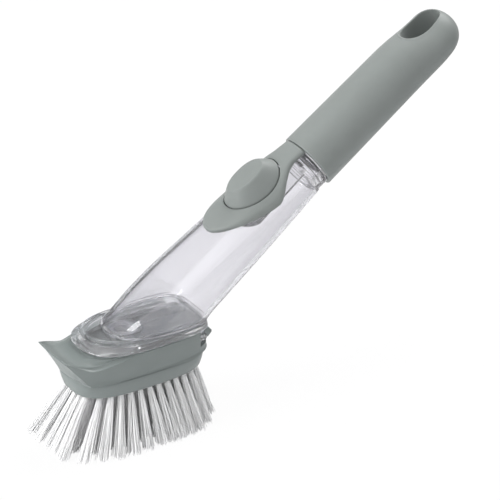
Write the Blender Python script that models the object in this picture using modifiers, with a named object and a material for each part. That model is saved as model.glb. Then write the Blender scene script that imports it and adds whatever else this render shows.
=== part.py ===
"""Dish brush on a clear soap wand.

Metres, +Z up. The head is level, its bristle tips stand on z = 0 under the origin,
the scraper points to -X and the handle climbs towards +X.
A second frame, the wand frame, has z along the handle, x out of its top and y across.
A third, the top frame, has z out of the handle's top and x down the handle.
"""

import math

import bmesh
import bpy
from mathutils import Vector

# General clearances and steps
GAP = 0.0003
OVERRUN = 0.002
ROUND_STEPS = 32
SMALL_STEPS = 20
OUTLINE_STEPS = 32
SECTION_STEPS = 8
WELD = 0.00001
SHARP_ANGLE = math.radians(35)

# Bristles
BRISTLE_HEIGHT = 0.031
TUFT_PITCH = 0.0056
TUFT_SPACING = 0.0060
TUFT_RADIUS = 0.0011
TUFT_COLUMNS = 13
RING_STRANDS = 4
STRAND_RADIUS = 0.0005
STRAND_SIDES = 3
STRAND_ROOT_DEPTH = 0.001
TUFT_TWIST_SHARE = 0.37
COLUMN_TWIST_SHARE = 0.19
TIP_FRONT_REACH = 0.0595
TIP_REAR_REACH = 0.0425
TIP_HALF_WIDTH = 0.0356
TUFT_SPREAD = 0.0023
COLUMN_GROUPS = ((0, 1), (2, 3), (4, 5), (6, 7), (8, 9), (10, 11, 12))
BACKING_THICKNESS = 0.002

# Bristle plate
PLATE_DEPTH = 0.0095
PLATE_FRONT = 0.039
PLATE_REAR = 0.0395
PLATE_HALF_WIDTH = 0.0221
PLATE_FLARE = 0.0015
PLATE_POWER = 3.0
PLATE_LEVEL_SHARES = ((0, 0), (0.35, 0.7), (1, 1))
PLATE_RIM = 0.0018
PLATE_FLOOR = 0.003
CHAMBER_FRONT = 0.029
CHAMBER_REAR = 0.009
CHAMBER_HALF_WIDTH = 0.0155
CHAMBER_POWER = 4.0
OUTLET_RADIUS = 0.0025

# Head carrier with its scraper
CARRIER_DEPTH = 0.0142
CARRIER_REAR = 0.0425
CARRIER_HALF_WIDTH = 0.0236
CARRIER_POWER = 3.4
CARRIER_SIDE_POWER = 2.4
CARRIER_LEVEL_SHARES = (0, 0.35, 0.7, 1)
CARRIER_SIDE_STEPS = 6
CARRIER_FRONT_STEPS = 4
FLOOR_THICKNESS = 0.0042
SLOT_DEPTH = 0.0036
WALL_END = 0.0326
CHEEK_FRONT = 0.0365
CHEEK_HALF_WIDTH = 0.0204
CHEEK_BOW = 0.0050
SCRAPER_REACH = 0.0490
SCRAPER_HALF_WIDTH = 0.0150
SCRAPER_BOW = 0.0006
SCRAPER_RISE = 0.0018
SCRAPER_DROP = 0.0006
SCOOP_RADIUS = 0.0084
SCOOP_RISE = 0.0062
SCOOP_SHARES = (
    (0.0, 0.857, 0.0),
    (0.357, 0.850, 0.02),
    (0.696, 0.806, 0.12),
    (0.946, 0.723, 0.25),
    (1.125, 0.558, 0.20),
    (1.232, 0.331, 0.0),
    (1.314, 0.062, -0.30),
)

# Foot of the wand, which slides into the carrier
FOOT_REAR = 0.0410
FLANGE_FRONT = 0.0332
FLANGE_HALF_WIDTH = 0.0236
FLANGE_THICKNESS = 0.0037
FLANGE_POWER = 2.6
FLANGE_REAR_POWER = 5.0
FLANGE_LIP = 0.0011
FLANGE_TOP_FRONT = 0.0272
FLANGE_TOP_REAR = 0.0406
FLANGE_TOP_HALF_WIDTH = 0.0228
FLANGE_TOP_POWER = 2.2
SHOE_FRONT = 0.0290
SHOE_HALF_WIDTH = 0.0165
SHOE_POWER = 2.6
STEM_INSET = 0.0030

# Outlet valve in the foot
VALVE_X = -0.0050
VALVE_RADIUS = 0.0060
VALVE_FLANGE = 0.0016
VALVE_FLOOR = 0.0070
VALVE_BILL = 0.0025
VALVE_BILL_RADIUS = 0.0024
VALVE_CUP_RADIUS = 0.0016
SEAT_RADIUS = 0.0099
SEAT_DEPTH = 0.0030
RETAINER_BORE = 0.0046
RETAINER_LUG = 0.0010
RETAINER_LUG_WIDTH = 0.0030
RETAINER_LUGS = 4

# Seal round the soap inlet of the carrier
INLET_RADIUS = 0.0032
INLET_SEAL_RADIUS = 0.0066
INLET_SEAL_WIDTH = 0.0020
INLET_SEAL_DEPTH = 0.0019

# Latch tongue at the rear of the carrier
TONGUE_ROOT = 0.0140
TONGUE_HALF_WIDTH = 0.0080
TONGUE_THICKNESS = 0.0024
TONGUE_SLOT = 0.0010
TONGUE_CATCH = 0.0033
TONGUE_TAB = 0.0060
TONGUE_TAB_RISE = 0.0012
CATCH_CHAMFER = 0.0006
LATCH_RELIEF = 0.0025

# Wand frame
WAND_TILT = math.radians(34)
WAND_AXIS_RISE = 0.0051

# Reservoir
FOOT_END = 0.0130
BLEND_END = 0.0450
SHELL_END = 0.1350
COLLAR_END = 0.1397
COLLAR_DEPTH = 0.0070
COLLAR_RADIUS = 0.0152
NECK_END = 0.1600
NECK_RADIUS = 0.0110
RESERVOIR_WALL = 0.0022
SHELL_FOOT_THICK = 0.0162
SHELL_FOOT_WIDE = 0.0212
SHELL_NECK_THICK = 0.0157
SHELL_NECK_WIDE = 0.0157
SHELL_FOOT_POWER = 4.4
SHELL_NECK_POWER = 2.0
MOUTH_FRONT = 0.0155
MOUTH_REAR = 0.0403
MOUTH_CENTRE = 0.0140
MOUTH_HALF_WIDTH = 0.0212
MOUTH_FRONT_POWER = 2.3
MOUTH_REAR_POWER = 5.0
FOOT_BLEND_SHARES = (0, 0.25, 0.5, 0.75, 1)
TUBE_SHARES = (1 / 3, 2 / 3, 1)

# Thread between the neck and the grip
THREAD_PITCH = 0.0040
THREAD_TURNS = 1.5
THREAD_RADIUS = 0.00075
THREAD_START = 0.1460
THREAD_SINK = 0.0003
THREAD_STEPS = 24

# Shelf under the button, and the bezel over it
SHELF_HEIGHT = 0.0076
SHELF_FLOOR = 0.0020
BEZEL_FRONT_MARGIN = 0.0178
BEZEL_PROUD = 0.0021
BEZEL_END_PROUD = 0.0012
BEZEL_PROUD_RUN = 0.0160
BEZEL_THICKNESS = 0.0024
BEZEL_STEPS = 16
BEZEL_RINGS = 12
BEZEL_GROW_SHARE = 0.125
BEZEL_NOSE_POWER = 2.4
BEZEL_WIDE_LAG = 0.0014
BEZEL_WIDE = 0.0176
BEZEL_WAIST_MARGIN = 0.0089
BEZEL_WAIST = 0.0084
BEZEL_TOP = 0.0230

# Button, its bellows and the clamp that holds them
BUTTON_SPOT = 0.1066
BUTTON_HALF_LENGTH = 0.0180
BUTTON_HALF_WIDTH = 0.0130
BUTTON_POWER = 2.2
BUTTON_SKIRT = 0.0112
BUTTON_TOP = 0.0250
BUTTON_TOP_HALF_LENGTH = 0.0128
BUTTON_TOP_HALF_WIDTH = 0.0080
BUTTON_EDGE = 0.0006
BUTTON_WALL = 0.0020
BUTTON_GROOVE = 0.0006
TAB_LENGTH = 0.0016
TAB_HALF_WIDTH = 0.0045
TAB_LOW = 0.0134
TAB_THICKNESS = 0.0012
PORT_RADIUS = 0.0030
BELLOWS_RADIUS = 0.0064
BELLOWS_FOLD = 0.0014
BELLOWS_FOLDS = 3
BELLOWS_WALL = 0.0008
BELLOWS_FLANGE_RADIUS = 0.0094
CLAMP_RADIUS = 0.0102
CLAMP_HEIGHT = 0.0016

# Neck ring
NECK_RING_RADIUS = 0.0012

# Grip
GRIP_EDGE = 0.0005
GRIP_TAPER_END = 0.2150
GRIP_TAPER = 0.0009
GRIP_RISE = 0.0010
GRIP_FLAT_START = 0.2120
GRIP_FLAT_END = 0.2420
GRIP_FLAT_THICK = 0.0124
GRIP_UNDER_START = 0.2320
GRIP_END = 0.2560
GRIP_END_POWER = 2.3
GRIP_TAPER_SHARES = (0.5, 0.97)
GRIP_FLAT_SHARES = (0.2, 0.4, 0.6, 0.8, 1)
GRIP_ROUND_SHARES = (0.21, 0.5, 0.74, 0.9, 0.98, 0.9994)
GRIP_SKIN = 0.0021
CORE_WALL = 0.0020
NECK_CLEARANCE = 0.0016
CORE_END = 0.2200
CORE_END_WALL = 0.0040
HANG_SPOT = 0.2392
HANG_HALF_LENGTH = 0.0120
HANG_HALF_WIDTH = 0.0076
HANG_CHAMFER = 0.0008
HANG_POWER = 2.3

# Heights and places that follow from the values above
PLATE_LOW = BRISTLE_HEIGHT
PLATE_HIGH = PLATE_LOW + PLATE_DEPTH
CARRIER_LOW = PLATE_HIGH + GAP
CARRIER_HIGH = CARRIER_LOW + CARRIER_DEPTH
SCRAPER_HIGH = CARRIER_HIGH + SCRAPER_RISE
FLOOR_HIGH = CARRIER_LOW + FLOOR_THICKNESS
RAIL_LOW = FLOOR_HIGH + SLOT_DEPTH
FOOT_LOW = FLOOR_HIGH + GAP
SHOE_HIGH = RAIL_LOW - GAP
FLANGE_LOW = CARRIER_HIGH + GAP
FLANGE_HIGH = FLANGE_LOW + FLANGE_THICKNESS
RESERVOIR_LOW = FLANGE_HIGH + GAP
VALVE_LOW = FOOT_LOW + VALVE_FLOOR
SEAT_LOW = FLANGE_HIGH - SEAT_DEPTH
STEM_HALF_WIDTH = SHOE_HALF_WIDTH - STEM_INSET
STEM_FRONT = SHOE_FRONT - STEM_INSET
WAND_BASE_HEIGHT = FOOT_LOW + WAND_AXIS_RISE
BEZEL_START = BUTTON_SPOT - BUTTON_HALF_LENGTH - BEZEL_FRONT_MARGIN
BEZEL_WIDE_SPOT = BUTTON_SPOT + BEZEL_WIDE_LAG
BEZEL_WAIST_SPOT = BUTTON_SPOT + BUTTON_HALF_LENGTH + BEZEL_WAIST_MARGIN
CORE_BORE = NECK_RADIUS + NECK_CLEARANCE
CORE_RADIUS = CORE_BORE + CORE_WALL
GRIP_RADIUS = CORE_RADIUS + GAP + GRIP_SKIN
GRIP_TAPER_RADIUS = GRIP_RADIUS - GRIP_TAPER
GRIP_START = COLLAR_END + GAP
NECK_RING_SPOT = COLLAR_END + GAP + NECK_RING_RADIUS
CORE_START = NECK_RING_SPOT + NECK_RING_RADIUS + GAP
BACKING_HIGH = PLATE_LOW + BACKING_THICKNESS
RECESS_HIGH = BACKING_HIGH + GAP
CHAMBER_LOW = RECESS_HIGH + PLATE_FLOOR
BACKING_FRONT = PLATE_FRONT - PLATE_RIM - GAP
BACKING_REAR = PLATE_REAR - PLATE_RIM - GAP
BACKING_HALF_WIDTH = PLATE_HALF_WIDTH - PLATE_RIM - GAP
TUFT_MARGIN = TUFT_RADIUS + STRAND_RADIUS
TONGUE_HIGH = FLOOR_HIGH - GAP
LATCH_HEIGHT = TONGUE_HIGH - TONGUE_THICKNESS / 2

GREY = (0.208, 0.232, 0.222)
DARK_GREY = (0.150, 0.168, 0.162)
CLEAR = (0.86, 0.86, 0.90)
WHITE = (0.88, 0.89, 0.91)
PALE_RUBBER = (0.80, 0.80, 0.78)


def clear_scene():
    """Take out whatever the file held before."""
    for found in list(bpy.data.objects):
        bpy.data.objects.remove(found, do_unlink=True)


def new_collection(name):
    """A collection under the scene's own."""
    made = bpy.data.collections.new(name)
    bpy.context.scene.collection.children.link(made)
    return made


clear_scene()
PARTS = new_collection("dish_brush")
CUTTERS = new_collection("cutters")


def plastic(name, colour, roughness, alpha=1.0):
    """A plain moulded material."""
    made = bpy.data.materials.new(name)
    made.use_nodes = True
    shader = made.node_tree.nodes["Principled BSDF"]
    shader.inputs["Base Color"].default_value = (*colour, 1.0)
    shader.inputs["Roughness"].default_value = roughness
    shader.inputs["Metallic"].default_value = 0.0
    shader.inputs["Alpha"].default_value = alpha
    made.diffuse_color = (*colour, alpha)
    return made


def empty_frame(name, location, rotation, parent=None):
    """An empty whose axes carry the pieces of one part of the brush."""
    made = bpy.data.objects.new(name, None)
    made.location = location
    made.rotation_euler = rotation
    made.parent = parent
    CUTTERS.objects.link(made)
    return made


def finish(piece, material=None, parent=None):
    """Link a piece as a part when it has a material, and as a cutter when it has none."""
    if parent is not None:
        piece.parent = parent
    if material is None:
        CUTTERS.objects.link(piece)
        piece.hide_render = True
        piece.display_type = "WIRE"
        return piece
    PARTS.objects.link(piece)
    piece.data.materials.clear()
    piece.data.materials.append(material)
    piece.data.shade_smooth()
    piece.data.set_sharp_from_angle(angle=SHARP_ANGLE)
    return piece


def from_bmesh(name, shape, material=None, parent=None):
    """Turn a bmesh into a finished piece with its faces pointing out."""
    bmesh.ops.recalc_face_normals(shape, faces=shape.faces)
    mesh = bpy.data.meshes.new(name)
    shape.to_mesh(mesh)
    shape.free()
    return finish(bpy.data.objects.new(name, mesh), material, parent)


def superellipse(steps, front, rear, half_width, power, rear_power=None, centre=0.0):
    """Points of an egg outline that starts at its front, which is at -x."""
    points = []
    for index in range(steps):
        turn = math.tau * index / steps
        along = math.cos(turn)
        across = math.sin(turn)
        bend = power if along > 0 or rear_power is None else rear_power
        reach = front if along > 0 else rear
        along_share = math.copysign(abs(along) ** (2 / bend), along)
        across_share = math.copysign(abs(across) ** (2 / bend), across)
        points.append((centre - reach * along_share, half_width * across_share))
    return points


def ring(outline, height):
    """An outline lifted to a height."""
    return [Vector((x, y, height)) for x, y in outline]


def loft(name, rings, material=None, parent=None):
    """A closed solid through rings of as many points each, capped at both ends."""
    shape = bmesh.new()
    rows = [[shape.verts.new(point) for point in points] for points in rings]
    for low, high in zip(rows, rows[1:]):
        for index in range(len(low)):
            after = (index + 1) % len(low)
            shape.faces.new((low[index], low[after], high[after], high[index]))
    shape.faces.new(rows[0])
    shape.faces.new(rows[-1])
    return from_bmesh(name, shape, material, parent)


def plate(name, outline, low, high, material=None, parent=None, rotation=(0, 0, 0)):
    """A flat outline with a thickness, from a filled 2D curve."""
    curve = bpy.data.curves.new(name, "CURVE")
    curve.dimensions = "2D"
    curve.fill_mode = "BOTH"
    curve.extrude = (high - low) / 2
    spline = curve.splines.new("POLY")
    spline.points.add(len(outline) - 1)
    for point, (x, y) in zip(spline.points, outline):
        point.co = (x, y, 0, 1)
    spline.use_cyclic_u = True
    return curve_to_mesh(name, curve, material, parent, (0, 0, (low + high) / 2), rotation)


def curve_to_mesh(name, curve, material=None, parent=None, lift=(0, 0, 0), rotation=(0, 0, 0)):
    """Make a mesh of a curve, with its caps welded."""
    guide = bpy.data.objects.new(name + "_curve", curve)
    CUTTERS.objects.link(guide)
    evaluated = guide.evaluated_get(bpy.context.evaluated_depsgraph_get())
    mesh = bpy.data.meshes.new_from_object(evaluated)
    bpy.data.objects.remove(guide, do_unlink=True)
    shape = bmesh.new()
    shape.from_mesh(mesh)
    bpy.data.meshes.remove(mesh)
    bmesh.ops.remove_doubles(shape, verts=shape.verts, dist=WELD)
    bmesh.ops.translate(shape, verts=shape.verts, vec=lift)
    made = from_bmesh(name, shape, material, parent)
    made.rotation_euler = rotation
    return made


def box(name, low, high, material=None, parent=None):
    """A box between two corners."""
    shape = bmesh.new()
    bmesh.ops.create_cube(shape, size=1)
    size = Vector(high) - Vector(low)
    middle = (Vector(high) + Vector(low)) / 2
    bmesh.ops.scale(shape, verts=shape.verts, vec=size)
    bmesh.ops.translate(shape, verts=shape.verts, vec=middle)
    return from_bmesh(name, shape, material, parent)


def cylinder(name, radius, low, high, place=(0, 0), material=None, parent=None):
    """An upright cylinder, cut or joined where its frame says."""
    shape = bmesh.new()
    bmesh.ops.create_cone(
        shape, cap_ends=True, segments=ROUND_STEPS, radius1=radius, radius2=radius, depth=high - low
    )
    bmesh.ops.translate(shape, verts=shape.verts, vec=(*place, (low + high) / 2))
    return from_bmesh(name, shape, material, parent)


def turned(name, profile, closed, material=None, parent=None, place=(0, 0), steps=ROUND_STEPS):
    """A profile of radius and height, turned round its frame's z by a Screw."""
    mesh = bpy.data.meshes.new(name)
    edges = [(index, index + 1) for index in range(len(profile) - 1)]
    if closed:
        edges.append((len(profile) - 1, 0))
    mesh.from_pydata([(radius, 0, height) for radius, height in profile], edges, [])
    made = bpy.data.objects.new(name, mesh)
    screw = made.modifiers.new("turn", "SCREW")
    screw.steps = steps
    screw.render_steps = steps
    screw.use_merge_vertices = True
    screw.merge_threshold = WELD
    made.location = (*place, 0)
    return finish(made, material, parent)


def combine(piece, other, operation):
    """Cut, join or intersect a piece with another one."""
    boolean = piece.modifiers.new(other.name, "BOOLEAN")
    boolean.operation = operation
    boolean.solver = "EXACT"
    boolean.object = other
    return piece


def cut(piece, *others):
    """Take every other shape out of a piece."""
    for other in others:
        combine(piece, other, "DIFFERENCE")
    return piece


def join(piece, *others):
    """Add every other shape to a piece."""
    for other in others:
        combine(piece, other, "UNION")
    return piece


WAND = empty_frame(
    "wand_axis", (0, 0, WAND_BASE_HEIGHT), (0, WAND_TILT - math.pi / 2, math.pi)
)
TOP = empty_frame("top_axis", (0, 0, 0), (0, math.pi / 2, 0), WAND)
BUTTON_AXIS = empty_frame("button_axis", (0, 0, BUTTON_SPOT), (0, math.pi / 2, 0), WAND)
LATCH_AXIS = empty_frame("latch_axis", (TONGUE_ROOT, 0, LATCH_HEIGHT), (0, 0, 0))


def to_wand(x, y, z):
    """A point of the head's frame, in the wand frame."""
    rise = z - WAND_BASE_HEIGHT
    out = rise * math.cos(WAND_TILT) - x * math.sin(WAND_TILT)
    along = rise * math.sin(WAND_TILT) + x * math.cos(WAND_TILT)
    return Vector((out, y, along))


def blend(start, end, share):
    """A value between two others."""
    return start + (end - start) * share


def ease(share):
    """A share held between 0 and 1 that starts and stops gently."""
    held = min(max(share, 0), 1)
    return 3 * held ** 2 - 2 * held ** 3


def shell_section(along, proud):
    """Half thickness, half width and roundness power of the reservoir's skin at a place."""
    share = (along - FOOT_END) / (SHELL_END - FOOT_END)
    power = blend(SHELL_FOOT_POWER, SHELL_NECK_POWER, min(max(share, 0), 1))
    thick = blend(SHELL_FOOT_THICK, SHELL_NECK_THICK, share) + proud
    wide = blend(SHELL_FOOT_WIDE, SHELL_NECK_WIDE, share) + proud
    return thick, wide, power


def shell_point(turn, along, proud):
    """A point of the reservoir's skin, set out by a length, at an angle and a place."""
    thick, wide, power = shell_section(along, proud)
    out_share = math.copysign(abs(math.cos(turn)) ** (2 / power), math.cos(turn))
    across_share = math.copysign(abs(math.sin(turn)) ** (2 / power), math.sin(turn))
    return Vector((thick * out_share, wide * across_share, along))


def shell_rings(proud, end, lowered=0.0):
    """Rings of the reservoir's skin, from its slanting mouth up to a place."""
    mouth = superellipse(
        OUTLINE_STEPS,
        MOUTH_FRONT + MOUTH_CENTRE + proud,
        MOUTH_REAR - MOUTH_CENTRE + proud,
        MOUTH_HALF_WIDTH + proud,
        MOUTH_FRONT_POWER,
        MOUTH_REAR_POWER,
        MOUTH_CENTRE,
    )
    turns = [math.tau * index / OUTLINE_STEPS for index in range(OUTLINE_STEPS)]
    starts = [to_wand(x, y, RESERVOIR_LOW) for x, y in mouth]
    rings = []
    shares = FOOT_BLEND_SHARES
    if lowered > 0:
        rings.append([to_wand(x, y, RESERVOIR_LOW - lowered) for x, y in mouth])
        shares = shares[1:]
    for share in shares:
        row = []
        for turn, start in zip(turns, starts):
            offset = start - shell_point(turn, start.z, proud)
            along = blend(start.z, BLEND_END, share)
            row.append(shell_point(turn, along, proud) + offset * (1 - share) ** 2)
        rings.append(row)
    for share in TUBE_SHARES:
        along = blend(BLEND_END, end, share)
        rings.append([shell_point(turn, along, proud) for turn in turns])
    return rings


def bezel_proud(along):
    """How far the bezel's skin stands out of the tank's: less where it meets the grip."""
    return blend(BEZEL_END_PROUD, BEZEL_PROUD, ease((COLLAR_END - along) / BEZEL_PROUD_RUN))


def bezel_height(along, across):
    """The height of the bezel's skin over the wand's axis."""
    thick, wide, power = shell_section(along, bezel_proud(along))
    return thick * (1 - (abs(across) / wide) ** power) ** (1 / power)


def bezel_rings(depth):
    """Rings of the bezel's skin, set in by a depth."""
    turns = [math.tau * index / OUTLINE_STEPS for index in range(OUTLINE_STEPS)]
    rings = []
    for index in range(BEZEL_RINGS + 1):
        along = blend(BEZEL_START - OVERRUN, COLLAR_END + OVERRUN, index / BEZEL_RINGS)
        rings.append([shell_point(turn, along, bezel_proud(along) - depth) for turn in turns])
    return rings


def bezel_half_width(along):
    """Half the bezel's width at a place along the wand: a round end, a belly and a waist."""
    if along <= BEZEL_WIDE_SPOT:
        share = (BEZEL_WIDE_SPOT - along) / (BEZEL_WIDE_SPOT - BEZEL_START)
        return BEZEL_WIDE * max(1 - share ** BEZEL_NOSE_POWER, 0) ** (1 / 2)
    share = (along - BEZEL_WIDE_SPOT) / (BEZEL_WAIST_SPOT - BEZEL_WIDE_SPOT)
    return blend(BEZEL_WIDE, BEZEL_WAIST, ease(share))


def bezel_outline(end, grow):
    """The keyhole outline in the top frame, grown by a clearance."""
    half = []
    for index in range(BEZEL_STEPS + 1):
        share = (1 - math.cos(math.pi * index / BEZEL_STEPS)) / 2
        along = blend(BEZEL_START, end, share)
        start_grow = grow * (1 - share)
        side_grow = grow * min(1, share / BEZEL_GROW_SHARE)
        half.append((start_grow - along, bezel_half_width(along) + side_grow))
    other = [(x, -y) for x, y in half[1:]]
    return half + other[::-1]


def shelf_outline(grow):
    """The outline of the cut for the bezel: its round end, then the whole width of the wand."""
    beyond = SHELL_FOOT_WIDE + BEZEL_THICKNESS
    half = []
    for index in range(BEZEL_STEPS // 2 + 1):
        share = 1 - math.cos(math.pi * index / BEZEL_STEPS)
        along = blend(BEZEL_START, BEZEL_WIDE_SPOT, share)
        start_grow = grow * (1 - share)
        side_grow = grow * min(1, share / BEZEL_GROW_SHARE)
        half.append((start_grow - along, bezel_half_width(along) + side_grow))
    half.append((-BEZEL_WIDE_SPOT, beyond))
    half.append((-SHELL_END - OVERRUN, beyond))
    other = [(x, -y) for x, y in half[1:]]
    return half + other[::-1]


def make_reservoir(material):
    """The clear tank: shell, collar and threaded neck, with the shelf for the button."""
    tank = loft("reservoir", shell_rings(0, SHELL_END), material, WAND)
    collar = turned(
        "collar_form",
        [
            (0, NECK_END),
            (NECK_RADIUS - GAP, NECK_END),
            (NECK_RADIUS, NECK_END - GAP),
            (NECK_RADIUS, COLLAR_END),
            (COLLAR_RADIUS, COLLAR_END),
            (COLLAR_RADIUS, COLLAR_END - COLLAR_DEPTH),
            (0, COLLAR_END - COLLAR_DEPTH),
        ],
        False,
        parent=WAND,
    )
    shelf = plate(
        "shelf_cut", shelf_outline(GAP), SHELF_HEIGHT, BEZEL_TOP + OVERRUN, parent=TOP
    )
    cavity_end = COLLAR_END - COLLAR_DEPTH - SHELF_FLOOR
    cavity = loft("tank_cavity", shell_rings(-RESERVOIR_WALL, cavity_end, OVERRUN), parent=WAND)
    roof = plate(
        "shelf_roof",
        shelf_outline(GAP + SHELF_FLOOR),
        SHELF_HEIGHT - SHELF_FLOOR,
        BEZEL_TOP + OVERRUN,
        parent=TOP,
    )
    cut(cavity, roof)
    bore = cylinder(
        "neck_bore", NECK_RADIUS - RESERVOIR_WALL, cavity_end - OVERRUN, NECK_END + OVERRUN, parent=WAND
    )
    low_bore = box(
        "neck_bore_roof",
        (SHELF_HEIGHT - SHELF_FLOOR - GAP, -NECK_RADIUS, cavity_end - OVERRUN - OVERRUN),
        (NECK_RADIUS, NECK_RADIUS, COLLAR_END - COLLAR_DEPTH + SHELF_FLOOR),
        parent=WAND,
    )
    cut(bore, low_bore)
    port = cylinder(
        "pump_port", PORT_RADIUS, SHELF_HEIGHT - SHELF_FLOOR - OVERRUN, SHELF_HEIGHT + OVERRUN,
        (-BUTTON_SPOT, 0), parent=TOP,
    )
    thread = thread_ridge("neck_thread", NECK_RADIUS + THREAD_RADIUS - THREAD_SINK * 2, THREAD_START)
    cut(tank, shelf)
    join(tank, collar, thread)
    cut(tank, cavity, bore, port)
    return tank


def thread_ridge(name, radius, start):
    """A round thread ridge as a thick helix about the wand's axis."""
    count = int(THREAD_TURNS * THREAD_STEPS) + 1
    curve = bpy.data.curves.new(name, "CURVE")
    curve.dimensions = "3D"
    curve.bevel_depth = THREAD_RADIUS
    curve.bevel_resolution = 1
    curve.use_fill_caps = True
    spline = curve.splines.new("POLY")
    spline.points.add(count - 1)
    for index, point in enumerate(spline.points):
        turn = math.tau * index / THREAD_STEPS
        height = start + THREAD_PITCH * index / THREAD_STEPS
        point.co = (radius * math.cos(turn), radius * math.sin(turn), height, 1)
    return curve_to_mesh(name, curve, parent=WAND)


def make_bezel(material):
    """The soft frame round the button, which follows the wand's skin."""
    bezel = plate(
        "button_bezel",
        bezel_outline(COLLAR_END, 0),
        SHELF_HEIGHT + GAP,
        BEZEL_TOP,
        material,
        TOP,
    )
    skin = loft("bezel_skin", bezel_rings(0), parent=WAND)
    hollow = loft("bezel_hollow", bezel_rings(BEZEL_THICKNESS), parent=WAND)
    over_collar = cylinder(
        "bezel_over_collar",
        COLLAR_RADIUS + GAP,
        COLLAR_END - COLLAR_DEPTH - GAP,
        COLLAR_END + OVERRUN,
        parent=WAND,
    )
    hole = plate(
        "button_hole",
        superellipse(
            OUTLINE_STEPS,
            BUTTON_HALF_LENGTH + BUTTON_GROOVE,
            BUTTON_HALF_LENGTH + BUTTON_GROOVE,
            BUTTON_HALF_WIDTH + BUTTON_GROOVE,
            BUTTON_POWER,
        ),
        SHELF_HEIGHT,
        BEZEL_TOP + OVERRUN,
        parent=BUTTON_AXIS,
    )
    combine(bezel, skin, "INTERSECT")
    return cut(bezel, hollow, over_collar, hole)


def button_ring(inset, height, share):
    """A ring of the button at a height, between its base and its top outline."""
    long_half = blend(BUTTON_HALF_LENGTH, BUTTON_TOP_HALF_LENGTH, share) - inset
    wide_half = blend(BUTTON_HALF_WIDTH, BUTTON_TOP_HALF_WIDTH, share) - inset
    return ring(superellipse(OUTLINE_STEPS, long_half, long_half, wide_half, BUTTON_POWER), height)


def button_shoulder(inset, drop):
    """The ring where the button comes out of the bezel, which follows the bezel's skin."""
    flat = button_ring(inset, 0, 0)
    return [Vector((p.x, p.y, bezel_height(BUTTON_SPOT - p.x, p.y) - drop)) for p in flat]


def make_button(material):
    """The push button: a hollow oval cap with a tab at each end under the bezel."""
    button = loft(
        "button",
        [
            button_ring(0, BUTTON_SKIRT, 0),
            button_shoulder(0, 0),
            button_ring(0, BUTTON_TOP - BUTTON_EDGE, 1),
            button_ring(BUTTON_EDGE, BUTTON_TOP, 1),
        ],
        material,
        BUTTON_AXIS,
    )
    tab_reach = BUTTON_HALF_LENGTH + TAB_LENGTH
    tabs = box(
        "button_tabs",
        (-tab_reach, -TAB_HALF_WIDTH, TAB_LOW),
        (tab_reach, TAB_HALF_WIDTH, TAB_LOW + TAB_THICKNESS),
        parent=BUTTON_AXIS,
    )
    hollow = loft(
        "button_hollow",
        [
            button_ring(BUTTON_WALL, BUTTON_SKIRT - OVERRUN, 0),
            button_shoulder(BUTTON_WALL, BUTTON_EDGE),
            button_ring(BUTTON_WALL, BUTTON_TOP - BUTTON_WALL - BUTTON_EDGE, 1),
        ],
        parent=BUTTON_AXIS,
    )
    join(button, tabs)
    return cut(button, hollow)


def make_bellows(material):
    """The rubber bellows that pumps the soap and lifts the button."""
    low = SHELF_HEIGHT + GAP
    flange_high = low + BELLOWS_WALL
    high = BUTTON_TOP - BUTTON_WALL - BUTTON_EDGE - GAP
    folds = BELLOWS_FOLDS * 2
    outer = []
    for index in range(folds + 1):
        radius = BELLOWS_RADIUS - (BELLOWS_FOLD if index % 2 else 0)
        outer.append((radius, blend(high - BELLOWS_WALL, flange_high, index / (folds + 1))))
    inner = [(radius - BELLOWS_WALL, height) for radius, height in outer]
    top_radius = outer[0][0] - BELLOWS_FOLD
    port_rim = PORT_RADIUS + GAP
    profile = [(0, high), (top_radius, high)]
    profile += outer
    profile += [(BELLOWS_RADIUS - BELLOWS_FOLD, flange_high)]
    profile += [(BELLOWS_FLANGE_RADIUS, flange_high), (BELLOWS_FLANGE_RADIUS, low), (port_rim, low)]
    profile += inner[::-1]
    profile += [(top_radius - BELLOWS_WALL, high - BELLOWS_WALL), (0, high - BELLOWS_WALL)]
    return turned("pump_bellows", profile, False, material, BUTTON_AXIS, steps=SMALL_STEPS)


def make_clamp(material):
    """The ring that holds the bellows' flange down."""
    low = SHELF_HEIGHT + GAP + BELLOWS_WALL + GAP
    bore = BELLOWS_RADIUS + GAP
    return turned(
        "bellows_clamp",
        [(CLAMP_RADIUS, low + CLAMP_HEIGHT), (CLAMP_RADIUS, low), (bore, low), (bore, low + CLAMP_HEIGHT)],
        True,
        material,
        BUTTON_AXIS,
        steps=SMALL_STEPS,
    )


def make_neck_ring(material):
    """The rubber ring that seals the grip on the tank's shoulder."""
    shape_radius = NECK_RADIUS + GAP + NECK_RING_RADIUS
    profile = []
    for index in range(SECTION_STEPS):
        turn = -math.tau * index / SECTION_STEPS
        radius = shape_radius + NECK_RING_RADIUS * math.cos(turn)
        profile.append((radius, NECK_RING_SPOT + NECK_RING_RADIUS * math.sin(turn)))
    return turned("neck_seal_ring", profile, True, material, WAND)


def make_grip_core(material):
    """The hard inner cap of the grip, with the thread that the neck screws into."""
    bore_end = CORE_END - CORE_END_WALL
    core = turned(
        "grip_core",
        [
            (0, CORE_END),
            (CORE_RADIUS, CORE_END),
            (CORE_RADIUS, CORE_START),
            (CORE_BORE, CORE_START),
            (CORE_BORE, bore_end),
            (0, bore_end),
        ],
        False,
        material,
        WAND,
    )
    ridge_radius = CORE_BORE - THREAD_RADIUS + THREAD_SINK * 2
    return join(core, thread_ridge("core_thread", ridge_radius, THREAD_START + THREAD_PITCH / 2))


def grip_round_off(along, start):
    """How much of its thickness the grip keeps where its end rounds off from a start."""
    share = max((along - start) / (GRIP_END - start), 0)
    return max(1 - share ** GRIP_END_POWER, 0) ** (1 / GRIP_END_POWER)


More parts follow.
